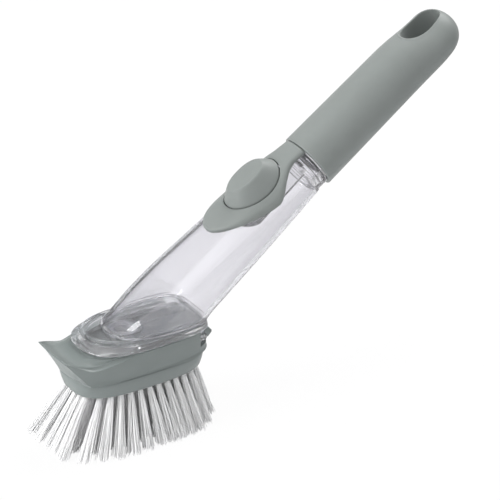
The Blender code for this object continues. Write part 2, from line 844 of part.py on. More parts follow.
def grip_ring(along, shrink):
    """A ring of the grip, round at its start and flattened above the hanging hole."""
    taper_share = min((along - GRIP_START) / (GRIP_TAPER_END - GRIP_START), 1)
    wide = blend(GRIP_RADIUS, GRIP_TAPER_RADIUS, taper_share) - shrink
    flat_share = (along - GRIP_FLAT_START) / (GRIP_FLAT_END - GRIP_FLAT_START)
    thick = blend(wide, GRIP_FLAT_THICK, ease(flat_share))
    rise = blend(0, GRIP_RISE, (along - GRIP_START) / (GRIP_END - GRIP_START))
    round_off = grip_round_off(along, GRIP_FLAT_END)
    under = wide * grip_round_off(along, GRIP_UNDER_START)
    points = []
    for index in range(OUTLINE_STEPS):
        turn = math.tau * index / OUTLINE_STEPS
        depth = thick * round_off if math.cos(turn) > 0 else under
        out = rise + depth * math.cos(turn)
        points.append(Vector((out, wide * round_off * math.sin(turn), along)))
    return points


def make_grip_sleeve(material):
    """The soft outer grip with the hanging hole through its flattened end."""
    places = [GRIP_START, GRIP_START + GRIP_EDGE]
    shrinks = [GRIP_EDGE, 0]
    for share in GRIP_TAPER_SHARES:
        places.append(blend(GRIP_START, GRIP_FLAT_START, share))
    for share in GRIP_FLAT_SHARES:
        places.append(blend(GRIP_FLAT_START, GRIP_FLAT_END, share))
    for share in GRIP_ROUND_SHARES:
        places.append(blend(GRIP_FLAT_END, GRIP_END, share))
    shrinks += [0] * (len(places) - len(shrinks))
    rings = [grip_ring(place, shrink) for place, shrink in zip(places, shrinks)]
    sleeve = loft("grip_sleeve", rings, material, WAND)
    socket = cylinder(
        "grip_socket", CORE_RADIUS + GAP, GRIP_START - OVERRUN, CORE_END + GAP, parent=WAND
    )
    hole_rings = []
    reach = GRIP_RADIUS + OVERRUN
    top = GRIP_FLAT_THICK + GRIP_RISE
    under = GRIP_RISE - GRIP_TAPER_RADIUS
    for height, grow in (
        (-reach, HANG_CHAMFER + reach + under),
        (HANG_CHAMFER + under, 0),
        (top - HANG_CHAMFER, 0),
        (reach, HANG_CHAMFER + reach - top),
    ):
        outline = superellipse(
            OUTLINE_STEPS,
            HANG_HALF_LENGTH + grow,
            HANG_HALF_LENGTH + grow,
            HANG_HALF_WIDTH + grow,
            HANG_POWER,
            centre=-HANG_SPOT,
        )
        hole_rings.append(ring(outline, height))
    hole = loft("hang_hole", hole_rings, parent=TOP)
    return cut(sleeve, socket, hole)


def half_round(front, half_width, power, rear, grow):
    """An outline with an egg-shaped front and a straight rear edge."""
    points = superellipse(OUTLINE_STEPS, front + grow, rear, half_width + grow, power)
    quarter = OUTLINE_STEPS // 4
    front_points = points[-quarter:] + points[: quarter + 1]
    return front_points + [(rear, half_width + grow), (rear, -half_width - grow)]


def make_foot(material):
    """The clear foot of the wand: a flange, and below it the shoe that slides in the rails."""
    edge = superellipse(
        OUTLINE_STEPS,
        FLANGE_FRONT,
        FOOT_REAR,
        FLANGE_HALF_WIDTH,
        FLANGE_POWER,
        FLANGE_REAR_POWER,
    )
    top = superellipse(
        OUTLINE_STEPS,
        FLANGE_TOP_FRONT,
        FLANGE_TOP_REAR,
        FLANGE_TOP_HALF_WIDTH,
        FLANGE_TOP_POWER,
        FLANGE_REAR_POWER,
    )
    foot = loft(
        "foot_plate",
        [ring(edge, FLANGE_LOW), ring(edge, FLANGE_LOW + FLANGE_LIP), ring(top, FLANGE_HIGH)],
        material,
    )
    stem = plate(
        "foot_stem",
        half_round(STEM_FRONT, STEM_HALF_WIDTH, SHOE_POWER, FOOT_REAR - GAP, 0),
        FOOT_LOW + (SHOE_HIGH - FOOT_LOW) / 2,
        FLANGE_LOW + FLANGE_THICKNESS / 2,
    )
    shoe = plate(
        "foot_shoe",
        half_round(SHOE_FRONT, SHOE_HALF_WIDTH, SHOE_POWER, FOOT_REAR - GAP, 0),
        FOOT_LOW,
        SHOE_HIGH,
    )
    seat = cylinder("valve_seat", SEAT_RADIUS, SEAT_LOW, FLANGE_HIGH + OVERRUN, (VALVE_X, 0))
    pocket = cylinder("valve_pocket", VALVE_RADIUS + GAP, VALVE_LOW - GAP, SEAT_LOW + OVERRUN, (VALVE_X, 0))
    outlet = cylinder(
        "foot_outlet", VALVE_BILL_RADIUS + GAP + GAP, FOOT_LOW - OVERRUN, VALVE_LOW, (VALVE_X, 0)
    )
    join(foot, stem, shoe)
    return cut(foot, seat, pocket, outlet)


def make_outlet_valve(material):
    """The slit rubber valve, with its cup above and its bill below."""
    high = VALVE_LOW + VALVE_FLANGE
    bill_low = VALVE_LOW - VALVE_BILL
    return turned(
        "outlet_valve",
        [
            (0, VALVE_LOW - VALVE_FLANGE),
            (VALVE_CUP_RADIUS, VALVE_LOW - VALVE_FLANGE + GAP),
            (VALVE_BILL_RADIUS, high),
            (VALVE_RADIUS, high),
            (VALVE_RADIUS, VALVE_LOW),
            (VALVE_BILL_RADIUS + GAP, VALVE_LOW),
            (VALVE_CUP_RADIUS, bill_low),
            (0, bill_low),
        ],
        False,
        material,
        place=(VALVE_X, 0),
        steps=SMALL_STEPS,
    )


def make_valve_retainer(material):
    """The ring over the valve, with lugs that hold it in the foot."""
    low = VALVE_LOW + VALVE_FLANGE + GAP
    step = SEAT_LOW + GAP
    high = FLANGE_HIGH
    outer = SEAT_RADIUS - GAP - RETAINER_LUG
    retainer = turned(
        "valve_retainer",
        [
            (outer, high),
            (outer, step),
            (VALVE_RADIUS, step),
            (VALVE_RADIUS, low),
            (RETAINER_BORE, low),
            (RETAINER_BORE, high),
        ],
        True,
        material,
        place=(VALVE_X, 0),
    )
    for index in range(RETAINER_LUGS):
        turn = math.tau * (index + 0.5) / RETAINER_LUGS
        lug = box(
            f"retainer_lug_{index + 1}",
            (outer - RETAINER_LUG, -RETAINER_LUG_WIDTH / 2, step),
            (outer + RETAINER_LUG, RETAINER_LUG_WIDTH / 2, high - RETAINER_LUG),
        )
        lug.location = (VALVE_X, 0, 0)
        lug.rotation_euler = (0, 0, turn)
        join(retainer, lug)
    return retainer


def head_outline(corner_x, corner_y, bow):
    """The carrier's outline at one height: round at the rear, a blunt edge at the front."""
    half = []
    for index in range(SECTION_STEPS + 1):
        turn = math.pi / 2 * index / SECTION_STEPS
        x = CARRIER_REAR * math.cos(turn) ** (2 / CARRIER_POWER)
        y = CARRIER_HALF_WIDTH * math.sin(turn) ** (2 / CARRIER_POWER)
        half.append((x, y))
    half_width = half[-1][1]
    for index in range(1, CARRIER_SIDE_STEPS + 1):
        share = index / CARRIER_SIDE_STEPS
        half.append((-corner_x * share, blend(half_width, corner_y, share ** CARRIER_SIDE_POWER)))
    for index in range(1, CARRIER_FRONT_STEPS + 1):
        share = index / CARRIER_FRONT_STEPS
        half.append((-corner_x - bow * math.sin(math.pi / 2 * share), corner_y * (1 - share)))
    other = [(x, -y) for x, y in half[1:-1]]
    return half + other[::-1]


def make_scoop():
    """The round hollow that runs round the toe, behind the scraper's edge."""
    toe = SCRAPER_REACH - SCRAPER_DROP
    side = CARRIER_HALF_WIDTH
    route = [(-x * toe, -y * side, -drop) for y, x, drop in SCOOP_SHARES[:0:-1]]
    route += [(-x * toe, y * side, -drop) for y, x, drop in SCOOP_SHARES]
    curve = bpy.data.curves.new("scoop", "CURVE")
    curve.dimensions = "3D"
    curve.bevel_depth = SCOOP_RADIUS
    curve.bevel_resolution = 3
    curve.use_fill_caps = True
    spline = curve.splines.new("POLY")
    spline.points.add(len(route) - 1)
    for point, (x, y, drop_share) in zip(spline.points, route):
        height = CARRIER_HIGH + SCOOP_RISE + drop_share * SCOOP_RADIUS
        point.co = (x, y, height, 1)
    return curve_to_mesh("scraper_scoop", curve)


def make_carrier(material):
    """The head carrier: the scraper in front, the rails at the sides, open at the rear."""
    rings = []
    for share in CARRIER_LEVEL_SHARES:
        outline = head_outline(
            blend(CHEEK_FRONT, SCRAPER_REACH, share),
            blend(CHEEK_HALF_WIDTH, SCRAPER_HALF_WIDTH, share),
            blend(CHEEK_BOW, SCRAPER_BOW, share),
        )
        rings.append(ring(outline, blend(CARRIER_LOW, SCRAPER_HIGH, share)))
    carrier = loft("head_carrier", rings, material)
    top_cut = box(
        "carrier_top_cut",
        (-SCOOP_SHARES[0][1] * SCRAPER_REACH, -CARRIER_HALF_WIDTH - OVERRUN, CARRIER_HIGH),
        (CARRIER_REAR + OVERRUN, CARRIER_HALF_WIDTH + OVERRUN, SCRAPER_HIGH + OVERRUN),
    )
    far = CARRIER_REAR + OVERRUN + TONGUE_TAB
    shoe_slot = plate(
        "shoe_slot",
        half_round(SHOE_FRONT, SHOE_HALF_WIDTH, SHOE_POWER, far, GAP),
        FLOOR_HIGH,
        RAIL_LOW,
    )
    stem_slot = plate(
        "stem_slot",
        half_round(STEM_FRONT, STEM_HALF_WIDTH, SHOE_POWER, far, GAP),
        RAIL_LOW - SLOT_DEPTH / 2,
        CARRIER_HIGH + OVERRUN,
    )
    rear_cut = box(
        "wall_end_cut",
        (WALL_END, -CARRIER_HALF_WIDTH - OVERRUN, FLOOR_HIGH),
        (far, CARRIER_HALF_WIDTH + OVERRUN, CARRIER_HIGH + OVERRUN),
    )
    window = box(
        "tongue_window",
        (TONGUE_ROOT - GAP, -TONGUE_HALF_WIDTH - TONGUE_SLOT, CARRIER_LOW - OVERRUN),
        (far, TONGUE_HALF_WIDTH + TONGUE_SLOT, FLOOR_HIGH + OVERRUN),
    )
    seal_low = FLOOR_HIGH - INLET_SEAL_DEPTH - GAP
    groove = turned(
        "seal_groove",
        [
            (INLET_SEAL_RADIUS + GAP, FLOOR_HIGH + OVERRUN),
            (INLET_SEAL_RADIUS + GAP, seal_low),
            (INLET_SEAL_RADIUS - INLET_SEAL_WIDTH - GAP, seal_low),
            (INLET_SEAL_RADIUS - INLET_SEAL_WIDTH - GAP, FLOOR_HIGH + OVERRUN),
        ],
        True,
        place=(VALVE_X, 0),
    )
    inlet = cylinder("soap_inlet", INLET_RADIUS, CARRIER_LOW - OVERRUN, FLOOR_HIGH + OVERRUN, (VALVE_X, 0))
    return cut(carrier, make_scoop(), top_cut, shoe_slot, stem_slot, rear_cut, window, groove, inlet)


def make_inlet_seal(material):
    """The rubber ring between the foot's outlet and the carrier's inlet."""
    low = FLOOR_HIGH - INLET_SEAL_DEPTH
    bore = INLET_SEAL_RADIUS - INLET_SEAL_WIDTH
    return turned(
        "inlet_seal",
        [(INLET_SEAL_RADIUS, FLOOR_HIGH), (INLET_SEAL_RADIUS, low), (bore, low), (bore, FLOOR_HIGH)],
        True,
        material,
        place=(VALVE_X, 0),
        steps=SMALL_STEPS,
    )


def make_tongue(material):
    """The latch: a springy tongue of the carrier's floor with a catch and a thumb tab."""
    high = TONGUE_HIGH - LATCH_HEIGHT
    low = high - TONGUE_THICKNESS
    catch = FOOT_REAR + GAP - TONGUE_ROOT
    catch_high = FOOT_LOW + TONGUE_CATCH - LATCH_HEIGHT
    tab_end = catch + TONGUE_TAB
    outline = [
        (0, low),
        (tab_end - TONGUE_THICKNESS, low),
        (tab_end, high),
        (tab_end, high + TONGUE_TAB_RISE),
        (tab_end - TONGUE_THICKNESS, catch_high),
        (catch + CATCH_CHAMFER, catch_high),
        (catch, catch_high - CATCH_CHAMFER),
        (catch, high),
        (0, high),
    ]
    return plate(
        "latch_tongue",
        outline,
        -TONGUE_HALF_WIDTH,
        TONGUE_HALF_WIDTH,
        material,
        LATCH_AXIS,
        (math.pi / 2, 0, 0),
    )


def make_bristle_plate(material):
    """The plate under the carrier: bristle recess below, soap chamber and latch relief above."""
    rings = []
    for share, flare_share in PLATE_LEVEL_SHARES:
        grow = PLATE_FLARE * flare_share
        outline = superellipse(
            OUTLINE_STEPS,
            PLATE_FRONT + grow,
            PLATE_REAR + grow,
            PLATE_HALF_WIDTH + grow,
            PLATE_POWER,
        )
        rings.append(ring(outline, blend(PLATE_LOW, PLATE_HIGH, share)))
    body = loft("bristle_plate", rings, material)
    recess = plate(
        "backing_recess",
        superellipse(
            OUTLINE_STEPS,
            BACKING_FRONT + GAP,
            BACKING_REAR + GAP,
            BACKING_HALF_WIDTH + GAP,
            PLATE_POWER,
        ),
        PLATE_LOW - OVERRUN,
        RECESS_HIGH,
    )
    chamber_centre = (CHAMBER_REAR - CHAMBER_FRONT) / 2
    chamber_half = (CHAMBER_REAR + CHAMBER_FRONT) / 2
    chamber = plate(
        "soap_chamber",
        superellipse(
            OUTLINE_STEPS, chamber_half, chamber_half, CHAMBER_HALF_WIDTH, CHAMBER_POWER,
            centre=chamber_centre,
        ),
        CHAMBER_LOW,
        PLATE_HIGH + OVERRUN,
    )
    relief = box(
        "latch_relief",
        (TONGUE_ROOT - TONGUE_SLOT, -TONGUE_HALF_WIDTH - TONGUE_SLOT, PLATE_HIGH - LATCH_RELIEF),
        (PLATE_REAR + OVERRUN + PLATE_FLARE, TONGUE_HALF_WIDTH + TONGUE_SLOT, PLATE_HIGH + OVERRUN),
    )
    drip = cylinder("soap_drip", OUTLET_RADIUS, RECESS_HIGH - OVERRUN, CHAMBER_LOW + OVERRUN, (VALVE_X, 0))
    return cut(body, recess, chamber, relief, drip)


def column_place(column):
    """Where a column of tufts stands."""
    return (column - (TUFT_COLUMNS - 1) / 2) * TUFT_PITCH


def tuft_places(column):
    """Roots of one column of tufts, spread from edge to edge of the backing."""
    x = column_place(column)
    reach = (BACKING_FRONT if x < 0 else BACKING_REAR) - TUFT_MARGIN
    width_share = (1 - (abs(x) / reach) ** PLATE_POWER) ** (1 / PLATE_POWER)
    half = (BACKING_HALF_WIDTH - TUFT_MARGIN) * width_share
    pairs = max(round(half / TUFT_SPACING), 1)
    count = 2 * pairs + 1
    places = [(x, blend(-half, half, index / (count - 1))) for index in range(count)]
    keep_out = OUTLET_RADIUS + TUFT_MARGIN
    return [(x, y) for x, y in places if math.hypot(x - VALVE_X, y) > keep_out]


def strand_roots(column):
    """Root offsets of the strands of each tuft: one in the middle and a ring round it."""
    strands = []
    for tuft, (x, y) in enumerate(tuft_places(column)):
        strands.append((x, y, 0, 0))
        for index in range(RING_STRANDS):
            twist = TUFT_TWIST_SHARE * tuft + COLUMN_TWIST_SHARE * column
            turn = math.tau * (index + twist) / RING_STRANDS
            strands.append((x, y, math.cos(turn), math.sin(turn)))
    return strands


def make_strand(shape, x, y, out_x, out_y, turn):
    """One tapering strand from inside the backing down to its flat tip on z = 0."""
    reach_share = TIP_FRONT_REACH / BACKING_FRONT if x < 0 else TIP_REAR_REACH / BACKING_REAR
    width_share = TIP_HALF_WIDTH / BACKING_HALF_WIDTH
    root = Vector((x + out_x * TUFT_RADIUS, y + out_y * TUFT_RADIUS, PLATE_LOW))
    tip = Vector((x * reach_share + out_x * TUFT_SPREAD, y * width_share + out_y * TUFT_SPREAD, 0))
    top = root + (root - tip) * (STRAND_ROOT_DEPTH / PLATE_LOW)
    rows = []
    for middle in (tip, top):
        row = []
        for side in range(STRAND_SIDES):
            angle = turn + math.tau * side / STRAND_SIDES
            offset = STRAND_RADIUS * Vector((math.cos(angle), math.sin(angle), 0))
            row.append(shape.verts.new(middle + offset))
        rows.append(row)
    for side in range(STRAND_SIDES):
        after = (side + 1) % STRAND_SIDES
        shape.faces.new((rows[0][side], rows[0][after], rows[1][after], rows[1][side]))
    shape.faces.new(rows[0])
    shape.faces.new(rows[1])


def make_bristles(number, columns, material):
    """A zone of bristles, fused to its slice of the backing."""
    shape = bmesh.new()
    count = 0
    for column in columns:
        for x, y, out_x, out_y in strand_roots(column):
            make_strand(shape, x, y, out_x, out_y, count)
            count += 1
    zone = from_bmesh(f"bristles_{number}", shape, material)
    half_pitch = TUFT_PITCH / 2
    first = columns[0] == 0
    last = columns[-1] == TUFT_COLUMNS - 1
    start = -PLATE_FRONT if first else column_place(columns[0]) - half_pitch + GAP / 2
    end = PLATE_REAR if last else column_place(columns[-1]) + half_pitch - GAP / 2
    backing = plate(
        f"backing_{number}",
        superellipse(
            OUTLINE_STEPS, BACKING_FRONT, BACKING_REAR, BACKING_HALF_WIDTH, PLATE_POWER
        ),
        PLATE_LOW,
        BACKING_HIGH,
    )
    slice_box = box(
        f"slice_{number}",
        (start, -PLATE_HALF_WIDTH, PLATE_LOW - OVERRUN),
        (end, PLATE_HALF_WIDTH, BACKING_HIGH + OVERRUN),
    )
    drip = cylinder(
        f"drip_{number}", OUTLET_RADIUS, PLATE_LOW - OVERRUN, BACKING_HIGH + OVERRUN, (VALVE_X, 0)
    )
    combine(backing, slice_box, "INTERSECT")
    join(zone, backing)
    if start < VALVE_X + OUTLET_RADIUS and end > VALVE_X - OUTLET_RADIUS:
        cut(zone, drip)
    return zone


def build():
    """Make every piece of the brush."""
    soft_grey = plastic("soft_grey", GREY, 0.55)
    hard_grey = plastic("hard_grey", GREY, 0.42)
    core_grey = plastic("core_grey", DARK_GREY, 0.45)
    clear = plastic("clear_plastic", CLEAR, 0.06, 0.35)
    rubber = plastic("pale_rubber", PALE_RUBBER, 0.6)
    nylon = plastic("white_nylon", WHITE, 0.4)
    make_grip_sleeve(soft_grey)
    make_grip_core(core_grey)
    make_neck_ring(rubber)
    make_reservoir(clear)
    make_bezel(soft_grey)
    make_button(soft_grey)
    make_bellows(rubber)
    make_clamp(core_grey)
    make_foot(clear)
    make_outlet_valve(rubber)
    make_valve_retainer(clear)
    make_carrier(hard_grey)
    make_inlet_seal(rubber)
    make_tongue(hard_grey)
    make_bristle_plate(hard_grey)
    for number, columns in enumerate(COLUMN_GROUPS, 1):
        make_bristles(number, columns, nylon)


build()
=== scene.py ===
"""Dish brush on a clear soap wand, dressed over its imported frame.

Metres, +Z up. The head is level with its bristle tips on the floor, the scraper points
to -X and the handle climbs towards +X. The wand frame has x out of the handle's top,
y across and z along the handle.
"""

import math
import random

import bmesh
import bpy
from mathutils import Matrix, Vector


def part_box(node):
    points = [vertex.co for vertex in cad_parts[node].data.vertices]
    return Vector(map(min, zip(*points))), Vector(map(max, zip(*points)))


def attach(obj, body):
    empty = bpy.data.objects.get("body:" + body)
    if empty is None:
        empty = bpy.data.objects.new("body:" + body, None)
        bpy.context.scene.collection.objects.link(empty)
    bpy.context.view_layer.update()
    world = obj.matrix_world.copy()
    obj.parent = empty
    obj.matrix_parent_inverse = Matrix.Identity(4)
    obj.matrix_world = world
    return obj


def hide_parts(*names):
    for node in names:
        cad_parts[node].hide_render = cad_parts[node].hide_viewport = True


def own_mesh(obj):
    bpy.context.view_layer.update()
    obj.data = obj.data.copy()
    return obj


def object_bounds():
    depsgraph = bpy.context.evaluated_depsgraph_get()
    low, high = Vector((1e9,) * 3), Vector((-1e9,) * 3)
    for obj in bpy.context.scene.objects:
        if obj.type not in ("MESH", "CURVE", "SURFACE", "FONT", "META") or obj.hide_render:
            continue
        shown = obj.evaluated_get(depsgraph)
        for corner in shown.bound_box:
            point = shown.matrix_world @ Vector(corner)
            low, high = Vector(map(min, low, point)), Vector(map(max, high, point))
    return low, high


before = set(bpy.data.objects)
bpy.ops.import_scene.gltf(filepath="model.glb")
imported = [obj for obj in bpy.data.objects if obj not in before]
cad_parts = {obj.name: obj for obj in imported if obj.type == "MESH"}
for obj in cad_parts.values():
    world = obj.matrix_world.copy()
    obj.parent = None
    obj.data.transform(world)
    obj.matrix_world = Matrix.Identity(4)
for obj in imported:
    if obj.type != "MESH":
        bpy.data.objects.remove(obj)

CAD_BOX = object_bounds()

bl_info = {
    "name": "Dish Brush",
    "version": (1, 0, 0),
    "blender": (4, 5, 0),
    "location": "View3D > Sidebar > Dish Brush",
    "description": "Makes the looks of a dish brush with a soap wand",
    "category": "Add Mesh",
}

# How finely rings and turned shapes are cut
TURNS = 96
SPIN_STEPS = 64
WELD = 0.000002
SHARP = math.radians(38)
SHARP_NYLON = math.radians(95)
BEVEL_STEPS = 2
HALVINGS = 60

# Clearance between two pieces that touch
GAP = 0.0003

# Where the pieces of the frame lie
CARRIER_LO, CARRIER_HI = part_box("head_carrier")
FOOT_LO, FOOT_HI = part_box("foot_plate")
PLATE_LO, PLATE_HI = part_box("bristle_plate")

# The wand's frame
TILT = math.radians(34)
WAND_BASE = FOOT_LO[2] + 0.0051
ALONG = Vector((math.cos(TILT), 0, math.sin(TILT)))
OUT = Vector((-math.sin(TILT), 0, math.cos(TILT)))
WAND = Matrix.Translation((0, 0, WAND_BASE)) @ Matrix(
    (OUT, Vector((0, -1, 0)), ALONG)
).transposed().to_4x4()


class BrushColours(bpy.types.PropertyGroup):
    """Colours of the brush's plastics, rubber and nylon."""

    grip: bpy.props.FloatVectorProperty(
        name="Grip", description="Soft-touch grey of the grip, button and bezel",
        default=(0.222, 0.242, 0.234), subtype="COLOR", size=3, min=0, max=1,
    )
    head: bpy.props.FloatVectorProperty(
        name="Head", description="Hard grey of the head carrier, plate and latch",
        default=(0.190, 0.216, 0.211), subtype="COLOR", size=3, min=0, max=1,
    )
    core: bpy.props.FloatVectorProperty(
        name="Core", description="Darker grey of the cap inside the grip and the clamp",
        default=(0.150, 0.168, 0.162), subtype="COLOR", size=3, min=0, max=1,
    )
    clear: bpy.props.FloatVectorProperty(
        name="Clear", description="Tint of the clear tank",
        default=(0.95, 0.945, 0.975), subtype="COLOR", size=3, min=0, max=1,
    )
    # Colour of the painted dark reflection that the clear plastics take where they are seen edge on
    painted_edge_reflection: bpy.props.FloatVectorProperty(
        name="Clear edge", description="Darker tint of the clear plastic where it is seen edge on",
        default=(0.30, 0.33, 0.44), subtype="COLOR", size=3, min=0, max=1,
    )
    foot: bpy.props.FloatVectorProperty(
        name="Foot", description="Tint of the clear foot and the valve's holding ring",
        default=(0.97, 0.98, 0.995), subtype="COLOR", size=3, min=0, max=1,
    )
    rubber: bpy.props.FloatVectorProperty(
        name="Rubber", description="Pale silicone of the valve, bellows and seals",
        default=(0.80, 0.80, 0.78), subtype="COLOR", size=3, min=0, max=1,
    )
    nylon: bpy.props.FloatVectorProperty(
        name="Nylon", description="White of the bristles",
        default=(0.98, 0.983, 0.99), subtype="COLOR", size=3, min=0, max=1,
    )


class GripSizes(bpy.types.PropertyGroup):
    """Sizes of the grip's edges."""

    hole_edge: bpy.props.FloatProperty(
        name="Hole edge", description="Radius of the rounded rim of the hanging hole",
        default=0.0007, min=0.0002, max=0.002, unit="LENGTH",
    )
    front_edge: bpy.props.FloatProperty(
        name="Front edge", description="Radius of the grip's edge against the tank",
        default=0.0006, min=0.0002, max=0.002, unit="LENGTH",
    )


class ButtonSizes(bpy.types.PropertyGroup):
    """Sizes of the push button and its bezel."""

    dish: bpy.props.FloatProperty(
        name="Dish", description="Depth of the thumb hollow in the button's top",
        default=0.0006, min=0, max=0.002, unit="LENGTH",
    )
    top_edge: bpy.props.FloatProperty(
        name="Top edge", description="Radius of the edge round the button's top",
        default=0.0009, min=0.0002, max=0.002, unit="LENGTH",
    )
    bezel_edge: bpy.props.FloatProperty(
        name="Bezel edge", description="Radius of the bezel's outer edge",
        default=0.0013, min=0.0003, max=0.0018, unit="LENGTH",
    )
    hole_edge: bpy.props.FloatProperty(
        name="Hole edge", description="Radius of the bezel's edge round the button",
        default=0.0004, min=0.0001, max=0.001, unit="LENGTH",
    )


class TankSizes(bpy.types.PropertyGroup):
    """Sizes of the clear tank and foot."""

    wall: bpy.props.FloatProperty(
        name="Wall", description="Thickness of the tank's wall",
        default=0.0022, min=0.001, max=0.003, unit="LENGTH",
    )
    bead: bpy.props.FloatProperty(
        name="Bead", description="How far the bead round the tank's mouth stands out",
        default=0.0004, min=0, max=0.0008, unit="LENGTH",
    )
    plug: bpy.props.FloatProperty(
        name="Plug", description="Height of the foot's rim inside the tank's mouth",
        default=0.0016, min=0.0005, max=0.002, unit="LENGTH",
    )


class HeadSizes(bpy.types.PropertyGroup):
    """Sizes of the head."""

    lip: bpy.props.FloatProperty(
        name="Scraper lip", description="Thickness of the scraper's edge",
        default=0.0013, min=0.0006, max=0.002, unit="LENGTH",
    )
    edge: bpy.props.FloatProperty(
        name="Edge", description="Radius of the plate's and carrier's moulded edges",
        default=0.0007, min=0.0002, max=0.0015, unit="LENGTH",
    )


class BristleSizes(bpy.types.PropertyGroup):
    """Sizes of the bristles."""

    filaments: bpy.props.IntProperty(
        name="Filaments", description="How many filaments each tuft has",
        default=60, min=10, max=80,
    )
    thickness: bpy.props.FloatProperty(
        name="Thickness", description="Radius of one filament",
        default=0.00018, min=0.0001, max=0.0003, unit="LENGTH",
    )


SETTINGS = {
    "brush_colours": BrushColours,
    "brush_grip": GripSizes,
    "brush_button": ButtonSizes,
    "brush_tank": TankSizes,
    "brush_head": HeadSizes,
    "brush_bristles": BristleSizes,
}


# Mesh tools

def blend(start, end, share):
    """A value between two others."""
    return start + (end - start) * share


def ease(share):
    """A share held between 0 and 1 that starts and stops gently."""
    held = min(max(share, 0), 1)
    return held * held * (3 - 2 * held)


def full_turn(steps):
    """Even angles all the way round."""
    return [math.tau * index / steps for index in range(steps)]


def quarter_turn(steps, first=0):
    """Sines and cosines at even angles over a quarter turn."""
    angles = [math.pi / 2 * step / steps for step in range(first, steps + 1)]
    return [(math.sin(angle), math.cos(angle)) for angle in angles]


def reach_of(inside, high):
    """How far from nothing a test still holds, found by halving."""
    low = 0.0
    for _ in range(HALVINGS):
        middle = (low + high) / 2
        low, high = (middle, high) if inside(middle) else (low, middle)
    return low


def signed_power(value, power):
    """A power that keeps the sign of its value."""
    return math.copysign(abs(value) ** power, value)


def ring_edges(shape, ring):
    """The edges that join a ring's vertices."""
    return [shape.edges.get(pair) for pair in zip(ring, ring[1:] + ring[:1])]


def place(ring, points):
    """Set a ring's vertices on points."""
    for vert, point in zip(ring, points):
        vert.co = point


def start_ring(shape, points):
    """A first ring of edges, from a circle that is set on points."""
    ring = bmesh.ops.create_circle(shape, segments=len(points), radius=1)["verts"]
    place(ring, points)
    return ring


def grow_rings(shape, rings, places):
    """Extrude rings on to further points, all at once."""
    edges = [edge for ring in rings for edge in ring_edges(shape, ring)]
    made = bmesh.ops.extrude_edge_only(shape, edges=edges)
    fresh = {part for part in made["geom"] if isinstance(part, bmesh.types.BMVert)}
    grown = []
    for ring, points in zip(rings, places):
        others = [[edge.other_vert(vert) for edge in vert.link_edges] for vert in ring]
        grown.append([next(vert for vert in around if vert in fresh) for around in others])
        place(grown[-1], points)
    return grown


def skin(shape, rings, start_cap=False, end_cap=False):
    """A skin through rings of as many points each, from a circle that is extruded."""
    first = start_ring(shape, rings[0])
    last = first
    for points in rings[1:]:
        last = grow_rings(shape, [last], [points])[0]
    for ring, capped in ((first, start_cap), (last, end_cap)):
        if capped:
            bmesh.ops.contextual_create(shape, geom=ring_edges(shape, ring))


def upright_form(outline, heights):
    """A closed form that stands upright over an outline."""
    shape = bmesh.new()
    rings = [[Vector((x, y, height)) for x, y in outline] for height in heights]
    skin(shape, rings, start_cap=True, end_cap=True)
    return shape


def merged(shape, other):
    """Put another shape's mesh into a shape."""
    mesh = bpy.data.meshes.new("merged_form")
    other.to_mesh(mesh)
    other.free()
    shape.from_mesh(mesh)
    bpy.data.meshes.remove(mesh)


def turned(shape, profile, closed=False, centre=(0, 0), steps=SPIN_STEPS):
    """Spin a profile of radius and height about an upright axis."""
    verts = [shape.verts.new((centre[0] + radius, centre[1], height)) for radius, height in profile]
    edges = [shape.edges.new(pair) for pair in zip(verts, verts[1:])]
    if closed:
        edges.append(shape.edges.new((verts[-1], verts[0])))
    bmesh.ops.spin(
        shape, geom=verts + edges, cent=(*centre, 0), axis=(0, 0, 1),
        angle=math.tau, steps=steps, use_merge=True,
    )
    bmesh.ops.remove_doubles(shape, verts=shape.verts, dist=WELD)


def rounded(shape, width):
    """Bevel the edges that turn sharply."""
    edges = [edge for edge in shape.edges if edge.is_manifold and edge.calc_face_angle(0) > SHARP]
    bmesh.ops.bevel(
        shape, geom=edges, offset=width, offset_type="OFFSET", affect="EDGES",
        segments=BEVEL_STEPS, profile=0.5, material=-1, clamp_overlap=True,
    )


def mesh_object(name, shape):
    """Turn a shape into an object at the origin."""
    mesh = bpy.data.meshes.new(name)
    shape.to_mesh(mesh)
    shape.free()
    made = bpy.data.objects.new(name, mesh)
    bpy.context.scene.collection.objects.link(made)
    return made


def box_shape(low, high):
    """A box between two corners."""
    shape = bmesh.new()
    bmesh.ops.create_cube(shape, size=1)
    bmesh.ops.scale(shape, verts=shape.verts, vec=Vector(high) - Vector(low))
    bmesh.ops.translate(shape, verts=shape.verts, vec=(Vector(high) + Vector(low)) / 2)
    return shape


def carved(shape, cutters):
    """Cut closed forms out of a shape."""
    bmesh.ops.remove_doubles(shape, verts=shape.verts, dist=WELD)
    bmesh.ops.recalc_face_normals(shape, faces=shape.faces)
    body = mesh_object("carved_form", shape)
    others = []
    for index, cutter in enumerate(cutters):
        bmesh.ops.recalc_face_normals(cutter, faces=cutter.faces)
        other = mesh_object(f"cutting_form_{index}", cutter)
        cut = body.modifiers.new(other.name, "BOOLEAN")
        cut.operation = "DIFFERENCE"
        cut.solver = "EXACT"
        cut.use_self = True
        cut.object = other
        others.append(other)
    bpy.context.view_layer.update()
    result = bpy.data.meshes.new_from_object(
        body.evaluated_get(bpy.context.evaluated_depsgraph_get())
    )
    made = bmesh.new()
    made.from_mesh(result)
    bpy.data.meshes.remove(result)
    for used in [body, *others]:
        bpy.data.objects.remove(used, do_unlink=True)
    return made


